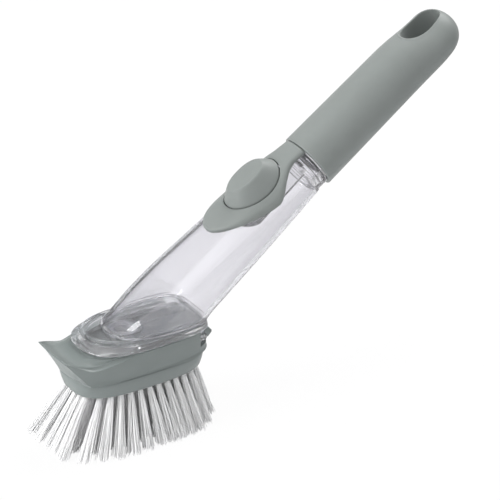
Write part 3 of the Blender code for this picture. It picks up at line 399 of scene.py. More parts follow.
def finish_piece(
    shape, name, body, slot, stands_for, move=None, material=None, sharp=SHARP
):
    """Make a shape a piece of the brush that rides on its body."""
    if move is not None:
        bmesh.ops.transform(shape, matrix=move, verts=shape.verts)
    bmesh.ops.remove_doubles(shape, verts=shape.verts, dist=WELD)
    bmesh.ops.recalc_face_normals(shape, faces=shape.faces)
    piece = mesh_object(name, shape)
    piece.data.shade_smooth()
    piece.data.set_sharp_from_angle(angle=sharp)
    piece.data.materials.append(MATERIALS[material or slot])
    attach(piece, body)
    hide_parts(*stands_for)
    return piece


# Outlines

def egg(front, rear, half_width, power, rear_power, height, turns=None):
    """Points of an egg outline at a height, by the angle round its middle from the front."""
    points = []
    for turn in turns or full_turn(TURNS):
        forward = math.cos(turn)
        bend = power if forward > 0 else rear_power
        reach = front if forward > 0 else rear
        along = abs(forward / reach) ** bend
        across = abs(math.sin(turn) / half_width) ** bend
        radius = (along + across) ** (-1 / bend)
        points.append(Vector((-radius * forward, radius * math.sin(turn), height)))
    return points


def superellipse(front, rear, half_width, power, rear_power=None, centre=0.0):
    """Points of an egg outline that are close together where it bends."""
    points = []
    for turn in full_turn(TURNS):
        bend = power if math.cos(turn) > 0 or rear_power is None else rear_power
        reach = front if math.cos(turn) > 0 else rear
        x = centre - reach * signed_power(math.cos(turn), 2 / bend)
        points.append((x, half_width * signed_power(math.sin(turn), 2 / bend)))
    return points


def valve_circle(radius, height, turns=None):
    """Points of a circle round the valve's middle, from the front round."""
    return [
        Vector((VALVE_X - radius * math.cos(turn), radius * math.sin(turn), height))
        for turn in turns or full_turn(TURNS)
    ]


def wand_circle(radius, along, turns=None):
    """Points of a circle about the wand's axis, from its top round."""
    return [
        Vector((radius * math.cos(turn), radius * math.sin(turn), along))
        for turn in turns or full_turn(TURNS)
    ]


def to_wand(x, y, z):
    """A point of the head's frame, in the wand frame but with y kept."""
    rise = z - WAND_BASE
    out = rise * math.cos(TILT) - x * math.sin(TILT)
    return Vector((out, y, rise * math.sin(TILT) + x * math.cos(TILT)))


# Materials

def node(tree, kind, inputs=None, **settings):
    """A shader node with its settings. Its inputs take values, or are linked to outputs."""
    made = tree.nodes.new(kind)
    for name, value in settings.items():
        setattr(made, name, value)
    for socket, value in (inputs or {}).items():
        if isinstance(value, bpy.types.NodeSocket):
            tree.links.new(value, made.inputs[socket])
        else:
            made.inputs[socket].default_value = value
    return made


def new_material(name, colour, inputs):
    """A Principled material with its colour and other values on the shader."""
    made = bpy.data.materials.new(name)
    made.use_nodes = True
    shader = made.node_tree.nodes["Principled BSDF"]
    shader.inputs["Base Color"].default_value = (*colour, 1)
    for socket, value in inputs.items():
        shader.inputs[socket].default_value = value
    return made, made.node_tree, shader


def noise(tree, scale, detail, stretch=(1, 1, 1)):
    """A noise pattern on the object's own coordinates."""
    spot = node(tree, "ShaderNodeTexCoord")
    mapping = node(tree, "ShaderNodeMapping", {"Vector": spot.outputs["Object"], "Scale": stretch})
    pattern = node(tree, "ShaderNodeTexNoise", {
        "Vector": mapping.outputs["Vector"], "Scale": scale, "Detail": detail,
    })
    return pattern.outputs["Fac"]


def ranged(tree, source, start, end, low, high):
    """A value of one range carried over to another."""
    return node(tree, "ShaderNodeMapRange", {
        "Value": source, "From Min": start, "From Max": end, "To Min": low, "To Max": high,
    }).outputs["Result"]


def spread(tree, source, low, high):
    """A noise pattern's middle stretched between two values."""
    return ranged(tree, source, 0.3, 0.7, low, high)


def mixed(tree, source, first, second):
    """Two colours mixed by a value."""
    return node(tree, "ShaderNodeMix", {
        "Factor": source, "A": (*first, 1), "B": (*second, 1),
    }, data_type="RGBA").outputs["Result"]


def tinted(tree, shader, colour, source, depth):
    """Let a pattern lighten and darken the colour a little."""
    darker = [part * (1 - depth) for part in colour]
    lighter = [min(part * (1 + depth), 1) for part in colour]
    tint = mixed(tree, spread(tree, source, 0, 1), darker, lighter)
    tree.links.new(tint, shader.inputs["Base Color"])


def uneven(tree, shader, source, low, high):
    """Let a pattern change the roughness."""
    tree.links.new(spread(tree, source, low, high), shader.inputs["Roughness"])


def bumped(tree, shader, source, distance, strength):
    """Let a pattern raise the surface."""
    bump = node(tree, "ShaderNodeBump", {
        "Height": source, "Distance": distance, "Strength": strength,
    })
    tree.links.new(bump.outputs["Normal"], shader.inputs["Normal"])


def soft_touch(name, colour):
    """Soft-touch rubber skin: fine matt grain, a little sheen and faint handling marks."""
    made, tree, shader = new_material(name, colour, {
        "Sheen Weight": 0.12, "Sheen Roughness": 0.45, "Specular IOR Level": 0.42,
    })
    tinted(tree, shader, colour, noise(tree, 60, 3), 0.035)
    uneven(tree, shader, noise(tree, 140, 4), 0.44, 0.54)
    bumped(tree, shader, noise(tree, 5200, 2), 0.00001, 0.5)
    return made


def hard_plastic(name, colour):
    """Moulded plastic with a fine satin grain and faint flow marks."""
    made, tree, shader = new_material(name, colour, {})
    tinted(tree, shader, colour, noise(tree, 45, 4, (1, 1, 2.5)), 0.04)
    uneven(tree, shader, noise(tree, 180, 4), 0.36, 0.46)
    bumped(tree, shader, noise(tree, 3800, 2), 0.00001, 0.35)
    return made


def clear_plastic(name, colour, painted_reflection_colour, clarity):
    """Polished clear plastic with slight waves in its skin, and a painted dark reflection in its
    colour where it is seen edge on.
    """
    made, tree, shader = new_material(name, colour, {
        "Transmission Weight": clarity, "IOR": 1.49, "Alpha": 0.88,
    })
    # Painted reflection: the base colour darkens towards the painted dark reflection colour as the
    # surface turns edge on to the view
    slant = node(tree, "ShaderNodeLayerWeight")
    steep = node(tree, "ShaderNodeMath", {0: slant.outputs["Facing"], 1: 3.0}, operation="POWER")
    tint = mixed(tree, steep.outputs[0], colour, painted_reflection_colour)
    tree.links.new(tint, shader.inputs["Base Color"])
    uneven(tree, shader, noise(tree, 120, 3), 0.0, 0.02)
    bumped(tree, shader, noise(tree, 45, 1), 0.00003, 0.12)
    return made


def silicone(name, colour):
    """Milky silicone rubber."""
    made, tree, shader = new_material(name, colour, {"Transmission Weight": 0.35, "IOR": 1.41})
    tinted(tree, shader, colour, noise(tree, 300, 2), 0.03)
    uneven(tree, shader, noise(tree, 900, 2), 0.32, 0.46)
    return made


def nylon_filament(name, colour):
    """Drawn nylon: milky, glossy along its length, a little uneven from tuft to tuft."""
    made, tree, shader = new_material(name, colour, {
        "Sheen Weight": 0.5, "Sheen Roughness": 0.4, "Subsurface Weight": 0.1,
        "Subsurface Radius": (1, 1, 1), "Subsurface Scale": 0.002,
        "Specular IOR Level": 0.25, "IOR": 1.53,
    })
    tinted(tree, shader, colour, noise(tree, 420, 2, (1, 1, 0.12)), 0.03)
    uneven(tree, shader, noise(tree, 900, 2), 0.28, 0.42)
    return made


MATERIALS = {}


def make_materials(colours):
    """All finishes of the brush, by the slots that they fill; the foot and ring have their own."""
    # edge is the colour of the painted dark reflection that the clear plastics take where they are
    # seen edge on
    edge = colours.painted_edge_reflection
    MATERIALS["soft_grey"] = soft_touch("soft_grey_skin", colours.grip)
    MATERIALS["hard_grey"] = hard_plastic("hard_grey_moulding", colours.head)
    MATERIALS["core_grey"] = hard_plastic("core_grey_moulding", colours.core)
    MATERIALS["clear_plastic"] = clear_plastic("clear_tank", colours.clear, edge, 0.97)
    MATERIALS["foot"] = clear_plastic("clear_foot_plate", colours.foot, edge, 0.90)
    MATERIALS["ring"] = clear_plastic("clear_valve_ring", colours.foot, edge, 0.55)
    MATERIALS["pale_rubber"] = silicone("pale_silicone", colours.rubber)
    MATERIALS["white_nylon"] = nylon_filament("white_nylon", colours.nylon)


# Grip

GRIP_START = 0.1400
GRIP_RADIUS = 0.0170
GRIP_TAPER_END = 0.2150
GRIP_TAPER_RADIUS = 0.0161
GRIP_RISE = 0.0010
GRIP_FLAT_START = 0.2120
GRIP_FLAT_END = 0.2420
GRIP_FLAT_THICK = 0.0124
GRIP_UNDER_START = 0.2320
GRIP_END = 0.2560
GRIP_END_POWER = 2.3
SOCKET_RADIUS = 0.0149
SOCKET_END = 0.2203
HOLE_SPOT = 0.2392
HOLE_HALF_LENGTH = 0.0130
HOLE_HALF_WIDTH = 0.0079
HOLE_BEAD = 0.0003
HOLE_POWER = 2.3
PATCH_START = 0.2200
PATCH_RINGS = 16
GRIP_PLACES = 30
WALL_RINGS = 5
EDGE_STEPS = 4


def grip_round_off(along, start):
    """How much of its thickness the grip keeps where its end rounds off from a start."""
    share = min(max((along - start) / (GRIP_END - start), 0), 1)
    return (1 - share ** GRIP_END_POWER) ** (1 / GRIP_END_POWER)


def grip_section(along):
    """Rise, thickness above and below, and half width of the grip at a place."""
    taper = min((along - GRIP_START) / (GRIP_TAPER_END - GRIP_START), 1)
    wide = blend(GRIP_RADIUS, GRIP_TAPER_RADIUS, taper)
    flat = ease((along - GRIP_FLAT_START) / (GRIP_FLAT_END - GRIP_FLAT_START))
    thick = blend(wide, GRIP_FLAT_THICK, flat)
    rise = blend(0, GRIP_RISE, (along - GRIP_START) / (GRIP_END - GRIP_START))
    end = grip_round_off(along, GRIP_FLAT_END)
    return rise, thick * end, wide * grip_round_off(along, GRIP_UNDER_START), wide * end


def grip_height(across, along, side):
    """The grip's skin over a point, on its top (1) or underside (-1)."""
    rise, above, below, wide = grip_section(along)
    if wide <= 0:
        return rise
    depth = above if side > 0 else -below
    return rise + depth * math.sqrt(max(1 - (across / wide) ** 2, 0))


def ray_point(spot, reach, turn):
    """Across and along at a distance from a spot on the wand's axis, at an angle."""
    return reach * math.sin(turn), spot + reach * math.cos(turn)


def hole_radius(turn):
    """Radius of the hanging hole's outline at an angle, from its far end round."""
    along = abs(math.cos(turn) / HOLE_HALF_LENGTH) ** HOLE_POWER
    across = abs(math.sin(turn) / HOLE_HALF_WIDTH) ** HOLE_POWER
    return (along + across) ** (-1 / HOLE_POWER)


def grip_rim_point(turn):
    """Where a ray from the hole's centre meets the grip's outline or the patch's start."""

    def inside(reach):
        across, along = ray_point(HOLE_SPOT, reach, turn)
        return PATCH_START < along < GRIP_END and abs(across) < grip_section(along)[3]

    return reach_of(inside, GRIP_END)


def grip_patch(edge, side):
    """Rings of the skin round the hanging hole, from its wall out to the grip's outline."""
    half = TURNS // 2
    wide = grip_section(PATCH_START)[3]
    back = PATCH_START - HOLE_SPOT
    corner = math.atan2(wide, back)
    turns, rims = [], []
    for index in range(half + 1):
        across = wide * math.sin(math.pi * (0.5 - index / half))
        turns.append(math.atan2(across, back))
        rims.append(math.hypot(across, back))
    for index in range(1, half):
        turn = blend(-corner, corner, index / half)
        turns.append(turn)
        rims.append(grip_rim_point(turn))

    def ring(radii, drop):
        points = []
        for turn, radius in zip(turns, radii):
            across, along = ray_point(HOLE_SPOT, radius, turn)
            points.append(Vector((grip_height(across, along, side) - side * drop, across, along)))
        return points

    hole = [hole_radius(turn) for turn in turns]
    rings = []
    for rise, run in quarter_turn(EDGE_STEPS):
        drop = edge * (1 - rise) - HOLE_BEAD * rise
        rings.append(ring([radius + edge * (1 - run) for radius in hole], drop))
    for share, _ in quarter_turn(PATCH_RINGS, 1):
        rings.append(ring([blend(low + edge, rim, share) for low, rim in zip(hole, rims)], 0))
    for point in rings[-1][half + 1:]:
        point.x = grip_section(point.z)[0]
    return rings


def side_turns():
    """Angles about the wand's axis, from its side round over the top."""
    return [math.pi / 2 - turn for turn in full_turn(TURNS)]


def grip_ring(along, shrink):
    """A ring of the grip's round part, from its side round over the top."""
    rise, above, below, wide = grip_section(along)
    points = []
    for turn in side_turns():
        thick = above if math.cos(turn) > 0 else below
        out = rise + (thick - shrink) * math.cos(turn)
        points.append(Vector((out, (wide - shrink) * math.sin(turn), along)))
    return points


def make_grip(sizes):
    """The soft grip with the hanging hole through its flattened end."""
    shape = bmesh.new()
    top = grip_patch(sizes.hole_edge, 1)
    under = grip_patch(sizes.hole_edge, -1)
    wall = [
        [low.lerp(high, share / WALL_RINGS) for low, high in zip(under[0], top[0])]
        for share in range(1, WALL_RINGS)
    ]
    skin(shape, under[::-1] + wall + top)
    edge = sizes.front_edge
    rings = [wand_circle(radius, along, side_turns()) for radius, along in (
        (SOCKET_RADIUS, SOCKET_END), (SOCKET_RADIUS, GRIP_START + edge),
        (SOCKET_RADIUS + edge / 2, GRIP_START),
    )]
    for rise, run in quarter_turn(EDGE_STEPS):
        rings.append(grip_ring(GRIP_START + edge * (1 - run), edge * (1 - rise)))
    for index in range(1, GRIP_PLACES + 1):
        rings.append(grip_ring(blend(GRIP_START + edge, PATCH_START, index / GRIP_PLACES), 0))
    skin(shape, rings, start_cap=True)
    finish_piece(shape, "grip_skin", "grip", "soft_grey", ["grip_sleeve"], WAND)


# Tank

FOOT_END = 0.0130
BLEND_END = 0.0450
SHELL_END = 0.1327
SHELL_TAPER_END = 0.1350
SHELL_FOOT_THICK = 0.0162
SHELL_FOOT_WIDE = 0.0212
SHELL_NECK = 0.0157
SHELL_FOOT_POWER = 4.4
SHELL_NECK_POWER = 2.0
MOUTH_FRONT = 0.0155
MOUTH_REAR = 0.0403
MOUTH_CENTRE = 0.0140
MOUTH_HALF_WIDTH = 0.0212
MOUTH_FRONT_POWER = 2.3
MOUTH_REAR_POWER = 5.0
TANK_LOW = FOOT_HI[2] + GAP
SHELF = 0.0076
SHELF_FLOOR = 0.0020
SHELF_START = 0.0874
SHELF_RUN = 0.0128
SHELF_POCKET = 0.0140
SHELF_REACH = 0.0260
POCKET_STEPS = 12
COLLAR_END = 0.1397
COLLAR_RADIUS = 0.0152
COLLAR_GROOVE = 0.0006
COLLAR_GROOVES = (0.1340, 0.1366)
COLLAR_EDGE = 0.0003
NECK_END = 0.1600
NECK_EDGE = 0.0004
NECK_RADIUS = 0.0110
CAVITY_END = 0.1307
BORE_ROOF_END = 0.1347
THREAD_START = 0.1460
THREAD_PITCH = 0.0040
THREAD_RADIUS = 0.00075
THREAD_TURNS = 1.5
THREAD_SIDES = 10
THREAD_STEPS = 72
PORT_RADIUS = 0.0030
BLEND_RINGS = 22
FIRST_BLEND_RING = 2
TUBE_RINGS = 24

# Bezel and button
BEZEL_START = 0.0708
BEZEL_PROUD = 0.0021
BEZEL_END_PROUD = 0.0012
BEZEL_PROUD_RUN = 0.0160
BEZEL_THICKNESS = 0.0024
HOLE_DEPTH = 0.0050
BEZEL_WIDE_SPOT = 0.1080
BEZEL_WIDE = 0.0176
BEZEL_NOSE_POWER = 2.4
BEZEL_WAIST_SPOT = 0.1335
BEZEL_WAIST = 0.0084
BEZEL_NEAR_TURNS = 12
BEZEL_FLAT_RINGS = 8
OUTLINE_MARGIN = 0.00002
BUTTON_SPOT = 0.1066
BUTTON_HALF_LENGTH = 0.0180
BUTTON_HALF_WIDTH = 0.0130
BUTTON_POWER = 2.2
BUTTON_SKIRT = 0.0112
BUTTON_TOP = 0.0250
BUTTON_TOP_LENGTH = 0.0128
BUTTON_TOP_WIDTH = 0.0080
BUTTON_WALL = 0.0020
BUTTON_GROOVE = 0.0006
BUTTON_BULGE = 0.0003


def shell_section(along, proud):
    """Half thickness, half width and roundness power of the tank's skin at a place."""
    share = (along - FOOT_END) / (SHELL_TAPER_END - FOOT_END)
    power = blend(SHELL_FOOT_POWER, SHELL_NECK_POWER, min(max(share, 0), 1))
    thick = blend(SHELL_FOOT_THICK, SHELL_NECK, share) + proud
    return thick, blend(SHELL_FOOT_WIDE, SHELL_NECK, share) + proud, power


def shell_point(turn, along, proud):
    """A point of the tank's skin, set out by a length, at an angle and a place."""
    thick, wide, power = shell_section(along, proud)
    out = thick * signed_power(math.cos(turn), 2 / power)
    return Vector((out, wide * signed_power(math.sin(turn), 2 / power), along))


def shell_height(along, across, proud):
    """The height of the tank's skin over the wand's axis."""
    thick, wide, power = shell_section(along, proud)
    return thick * max(1 - (abs(across) / wide) ** power, 0) ** (1 / power)


def bezel_half_width(along):
    """Half the bezel's width at a place: a round end, a belly and a waist."""
    if along <= BEZEL_WIDE_SPOT:
        share = (BEZEL_WIDE_SPOT - along) / (BEZEL_WIDE_SPOT - BEZEL_START)
        return BEZEL_WIDE * max(1 - share ** BEZEL_NOSE_POWER, 0) ** 0.5
    share = (along - BEZEL_WIDE_SPOT) / (BEZEL_WAIST_SPOT - BEZEL_WIDE_SPOT)
    return blend(BEZEL_WIDE, BEZEL_WAIST, ease(share))


def shelf_form(low, grow, end):
    """What the tank lacks over its shelf: a round pocket under the button, open to both sides."""
    half = []
    for rise, run in quarter_turn(POCKET_STEPS):
        along = SHELF_START - grow + SHELF_RUN * (1 - run)
        half.append((along, (SHELF_POCKET + grow) * rise))
    half += [(SHELF_START - grow + SHELF_RUN, SHELF_REACH), (end, SHELF_REACH)]
    outline = half + [(along, -across) for along, across in half[:0:-1]]
    rings = [
        [Vector((out, across, along)) for along, across in outline] for out in (low, SHELF_REACH)
    ]
    shape = bmesh.new()
    skin(shape, rings, start_cap=True, end_cap=True)
    return shape


def mouth_ring(proud, lift):
    """The tank's slanting mouth in the wand's frame, set out and lifted."""
    outline = superellipse(
        MOUTH_FRONT + MOUTH_CENTRE + proud, MOUTH_REAR - MOUTH_CENTRE + proud,
        MOUTH_HALF_WIDTH + proud, MOUTH_FRONT_POWER, MOUTH_REAR_POWER, MOUTH_CENTRE,
    )
    return [to_wand(x, y, TANK_LOW + lift) for x, y in outline]


def tank_rings(proud, end):
    """Rings of the tank's skin, from its mouth up to a place."""
    starts = mouth_ring(proud, 0)
    turns = full_turn(TURNS)
    rings = []
    for index in range(FIRST_BLEND_RING, BLEND_RINGS + 1):
        share = index / BLEND_RINGS
        row = []
        for turn, start in zip(turns, starts):
            offset = start - shell_point(turn, start.z, proud)
            along = blend(start.z, BLEND_END, share)
            row.append(shell_point(turn, along, proud) + offset * (1 - share) ** 2)
        rings.append(row)
    for index in range(1, TUBE_RINGS + 1):
        along = blend(BLEND_END, end, index / TUBE_RINGS)
        rings.append([shell_point(turn, along, proud) for turn in turns])
    return rings


def tank_hollow(wall):
    """The room inside the tank and its neck, up to the roof under the shelf."""
    bore = NECK_RADIUS - wall
    rings = [mouth_ring(-wall, -wall), mouth_ring(-wall, wall / 2)]
    rings += tank_rings(-wall, CAVITY_END)
    rings += [wand_circle(bore, CAVITY_END), wand_circle(bore, NECK_END + wall)]
    shape = bmesh.new()
    skin(shape, rings, start_cap=True, end_cap=True)
    return carved(shape, [shelf_form(SHELF - SHELF_FLOOR, SHELF_FLOOR, BORE_ROOF_END)])


def make_thread():
    """The screw thread round the neck."""
    thread = bmesh.new()
    points = []
    for turn in full_turn(THREAD_SIDES):
        radius = NECK_RADIUS - GAP + THREAD_RADIUS * math.cos(turn)
        points.append((radius, 0, THREAD_START + THREAD_RADIUS * math.sin(turn)))
    section = start_ring(thread, points)
    made = bmesh.ops.spin(
        thread, geom=section + ring_edges(thread, section), cent=(0, 0, 0), axis=(0, 0, 1),
        dvec=(0, 0, THREAD_PITCH * THREAD_TURNS / THREAD_STEPS), angle=math.tau * THREAD_TURNS,
        steps=THREAD_STEPS,
    )
    last = [part for part in made["geom_last"] if isinstance(part, bmesh.types.BMEdge)]
    bmesh.ops.contextual_create(thread, geom=ring_edges(thread, section))
    bmesh.ops.contextual_create(thread, geom=last)
    return thread


def make_tank(sizes):
    """The clear tank: mouth bead, shell, shelf, collar and threaded neck, with its hollow."""
    bead = sizes.bead
    rings = [mouth_ring(proud, lift) for proud, lift in (
        (bead - 0.0005, 0), (bead - 0.0001, 0.0002), (bead, 0.0006), (bead, 0.0011),
        (bead * 0.3, 0.0016),
    )]
    rings += tank_rings(0, SHELL_END)
    profile = [(COLLAR_RADIUS - COLLAR_EDGE, SHELL_END), (COLLAR_RADIUS, SHELL_END + COLLAR_EDGE)]
    for start in COLLAR_GROOVES:
        for share, along in zip((0, 1, 1, 0), (0, 0.0003, 0.0010, 0.0013)):
            profile.append((COLLAR_RADIUS - share * COLLAR_GROOVE, start + along))
    profile += [
        (COLLAR_RADIUS, COLLAR_END - COLLAR_EDGE), (COLLAR_RADIUS - COLLAR_EDGE, COLLAR_END),
        (NECK_RADIUS, COLLAR_END), (NECK_RADIUS, NECK_END - NECK_EDGE),
        (NECK_RADIUS - NECK_EDGE, NECK_END),
    ]
    rings += [wand_circle(radius, along) for radius, along in profile]
    shape = bmesh.new()
    skin(shape, rings, start_cap=True, end_cap=True)
    shape = carved(shape, [shelf_form(SHELF, 0, SHELL_END), tank_hollow(sizes.wall), port_form()])
    merged(shape, make_thread())
    finish_piece(shape, "clear_tank", "wand", "clear_plastic", ["reservoir"], WAND)


def port_form():
    """The round hole in the shelf through which the bellows pumps."""
    shape = bmesh.new()
    bmesh.ops.create_cone(
        shape, cap_ends=True, segments=48, radius1=PORT_RADIUS, radius2=PORT_RADIUS, depth=0.006
    )
    middle = Matrix.Translation((SHELF - SHELF_FLOOR / 2, 0, BUTTON_SPOT))
    turn = Matrix.Rotation(math.pi / 2, 4, "Y")
    bmesh.ops.transform(shape, matrix=middle @ turn, verts=shape.verts)
    return shape


def bezel_proud(along):
    """How far the bezel's skin stands out of the tank's: less where it meets the grip."""
    share = ease((COLLAR_END - along) / BEZEL_PROUD_RUN)
    return blend(BEZEL_END_PROUD, BEZEL_PROUD, share)


def bezel_height(along, across):
    """The height of the bezel's skin over the wand's axis."""
    return shell_height(along, across, bezel_proud(along))


def oval(long_half, wide_half, turns):
    """Radii of the button's outline at angles, from the grip's side round."""
    radii = []
    for turn in turns:
        long_share = abs(math.cos(turn) / long_half) ** BUTTON_POWER
        wide_share = abs(math.sin(turn) / wide_half) ** BUTTON_POWER
        radii.append((long_share + wide_share) ** (-1 / BUTTON_POWER))
    return radii


def button_ring(radii, turns, height):
    """Points round the button's middle, whose height follows from their place."""
    points = []
    for turn, radius in zip(turns, radii):
        across, along = ray_point(BUTTON_SPOT, radius, turn)
        points.append(Vector((height(along, across), across, along)))
    return points


def bezel_rim(turn, inset):
    """Where a ray from the button's middle meets the bezel's outline, set in."""

    def inside(reach):
        across, along = ray_point(BUTTON_SPOT, reach, turn)
        within = BEZEL_START + inset < along < COLLAR_END - inset
        return within and abs(across) < bezel_half_width(along) - inset

    return reach_of(inside, COLLAR_END)


def bezel_turns():
    """Angles round the button, closer together towards the corners at the grip."""
    corner = math.atan2(BEZEL_WAIST, COLLAR_END - BUTTON_SPOT)
    far = TURNS // 2 - BEZEL_NEAR_TURNS
    turns = [corner * index / BEZEL_NEAR_TURNS for index in range(BEZEL_NEAR_TURNS)]
    turns += [blend(corner, math.pi, index / far) for index in range(far + 1)]
    return turns + [-turn for turn in turns[-2:0:-1]]


def make_bezel(sizes):
    """The soft frame round the button, which follows the wand's skin."""
    turns = bezel_turns()
    hole = oval(BUTTON_HALF_LENGTH + BUTTON_GROOVE, BUTTON_HALF_WIDTH + BUTTON_GROOVE, turns)
    edge = sizes.bezel_edge
    small = sizes.hole_edge
    flat = [bezel_rim(turn, edge) for turn in turns]
    full = [bezel_rim(turn, OUTLINE_MARGIN) for turn in turns]
    levels = [(hole, HOLE_DEPTH)]
    for rise, run in quarter_turn(3):
        levels.append(([radius + small * (1 - run) for radius in hole], small * (1 - rise)))
    for step in range(1, BEZEL_FLAT_RINGS):
        share = step / BEZEL_FLAT_RINGS
        levels.append(([blend(low + small, high, share) for low, high in zip(hole, flat)], 0))
    for rise, run in quarter_turn(5):
        levels.append(([blend(low, high, rise) for low, high in zip(flat, full)], edge * (1 - run)))
    levels += [
        (full, BEZEL_THICKNESS),
        ([radius - 0.0004 for radius in full], BEZEL_THICKNESS + 0.0002),
        ([radius + 0.0010 for radius in hole], BEZEL_THICKNESS + 0.0002),
        ([radius + 0.0006 for radius in hole], HOLE_DEPTH),
        levels[0],
    ]
    rings = [
        button_ring(radii, turns, lambda along, across: bezel_height(along, across) - drop)
        for radii, drop in levels
    ]
    shape = bmesh.new()
    skin(shape, rings)
    finish_piece(shape, "soft_bezel", "wand", "soft_grey", ["button_bezel"], WAND)


def make_button(sizes):
    """The push button: an oval cone with a thumb hollow in its slanting top."""
    turns = full_turn(TURNS)
    edge = sizes.top_edge
    wall = BUTTON_WALL
    rim = BUTTON_TOP - edge * 0.7

    def ring(long_half, wide_half, height):
        return button_ring(oval(long_half, wide_half, turns), turns, lambda *spot: height)

    def shoulder(inset, drop):
        radii = oval(BUTTON_HALF_LENGTH - inset, BUTTON_HALF_WIDTH - inset, turns)
        return button_ring(radii, turns, lambda *spot: bezel_height(*spot) - drop)

    def between(low, high, share):
        points = []
        for start, end in zip(low, high):
            middle = start.lerp(end, share)
            away = Vector((0, middle.y, middle.z - BUTTON_SPOT)).normalized()
            points.append(middle + away * BUTTON_BULGE * math.sin(math.pi * share))
        return points

    base = shoulder(0, 0)
    top = ring(BUTTON_TOP_LENGTH, BUTTON_TOP_WIDTH, rim)
    rings = [
        ring(BUTTON_TOP_LENGTH - wall, BUTTON_TOP_WIDTH - wall, BUTTON_TOP - wall - edge),
        shoulder(wall, 0.0006),
        ring(BUTTON_HALF_LENGTH - wall, BUTTON_HALF_WIDTH - wall, BUTTON_SKIRT),
        ring(BUTTON_HALF_LENGTH, BUTTON_HALF_WIDTH, BUTTON_SKIRT),
        shoulder(0, 0.0012),
    ]
    rings += [between(base, top, share) for share in (0, 0.08, 0.2, 0.4, 0.6, 0.8, 0.93, 1)]
    for step, (inward, _) in enumerate(quarter_turn(EDGE_STEPS, 1), start=1):
        inset = edge * inward * 0.9
        rise = edge * 0.7 * (1 - (1 - step / EDGE_STEPS) ** 2)
        rings.append(ring(BUTTON_TOP_LENGTH - inset, BUTTON_TOP_WIDTH - inset, rim + rise))
    for share in (0.9, 0.75, 0.55, 0.35, 0.15, 0.02):
        long_half = (BUTTON_TOP_LENGTH - edge * 0.9) * share
        wide_half = (BUTTON_TOP_WIDTH - edge * 0.9) * share
        rings.append(ring(long_half, wide_half, BUTTON_TOP - sizes.dish * (1 - share ** 2)))
    shape = bmesh.new()
    skin(shape, rings, start_cap=True, end_cap=True)
    finish_piece(shape, "push_button", "button", "soft_grey", ["button"], WAND)


# Foot

VALVE_X = -0.0050
SHOE_HIGH = FOOT_LO[2] + 0.0030
FLANGE_LOW = 0.0553
FLANGE_LIP = 0.0011
FOOT_EDGE = 0.0004
OUTLET_RADIUS = 0.0030
PLUG_WALL = 0.0014

# Front, rear, half width, and how square the front and the rear are
SHOE = (0.0290, 0.0407, 0.0165, 2.6, 14)
STEM = (0.0260, 0.0404, 0.0135, 2.6, 14)
FLANGE = (0.0332, 0.0410, 0.0236, 2.6, 5)
PLUG = (0.0264, 0.0372, 0.0183, 2.2, 5)


def make_foot(sizes):
    """The clear foot: flange with its valve seat, the stem, and the shoe for the rails."""
    low, high, soft = FOOT_LO[2], FOOT_HI[2], FOOT_EDGE
    lip = FLANGE_LOW + FLANGE_LIP
    rise = high + sizes.plug
    rings = [valve_circle(OUTLET_RADIUS, low)]
    for front, rear, half, power, rear_power, inset, height in (
        (*SHOE, soft, low), (*SHOE, 0, low + soft), (*SHOE, 0, SHOE_HIGH - soft),
        (*SHOE, soft, SHOE_HIGH), (*STEM, 0, SHOE_HIGH), (*STEM, 0, FLANGE_LOW - soft),
        (0.0264, 0.0406, 0.0139, 2.6, 10, 0, FLANGE_LOW), (*FLANGE, soft, FLANGE_LOW),
        (*FLANGE, 0, FLANGE_LOW + soft), (*FLANGE, 0, lip - 0.0002),
        (0.0328, 0.0409, 0.0235, 2.6, 5, 0, lip + 0.0002),
        (0.0320, 0.0409, 0.0234, 2.5, 5, 0, lip + 0.0003),
        (0.0313, 0.0408, 0.0233, 2.5, 5, 0, lip + 0.0008),
        (0.0308, 0.0408, 0.0232, 2.4, 5, 0, FLANGE_LOW + 0.0021),
        (0.0301, 0.0407, 0.0231, 2.4, 5, 0, FLANGE_LOW + 0.0022),
        (0.0288, 0.0407, 0.0230, 2.3, 5, 0, high - soft),
        (0.0280, 0.0404, 0.0226, 2.2, 5, 0, high),
        (*PLUG, 0, high), (*PLUG, 0, rise), (*PLUG, PLUG_WALL, rise), (*PLUG, PLUG_WALL, high),
    ):
        rings.append(egg(front - inset, rear - inset, half - inset, power, rear_power, height))
    for radius, height in (
        (0.0112, high), (0.0110, high + 0.0008), (0.0101, high + 0.0008), (0.0099, high),
        (0.0099, high - 0.0030), (0.0063, high - 0.0030), (0.0063, low + 0.0067),
        (OUTLET_RADIUS, low + 0.0067), (OUTLET_RADIUS, low),
    ):
        rings.append(valve_circle(radius, height))
    shape = bmesh.new()
    skin(shape, rings)
    finish_piece(shape, "clear_foot", "wand", "clear_plastic", ["foot_plate"], material="foot")


# Head

CARRIER_LOW = CARRIER_LO[2]
SCRAPER_HIGH = CARRIER_HI[2]
CARRIER_TOP = 0.0550
CARRIER_REAR = CARRIER_HI[0]
CARRIER_HALF = CARRIER_HI[1]
CARRIER_POWER = 3.4
SIDE_POWER = 2.4

# Where the front corner lies, along and across, and how far the front edge bows out
CHEEK = (0.0365, 0.0204, 0.0050)
TIP = (0.0490, 0.0150, 0.0006)

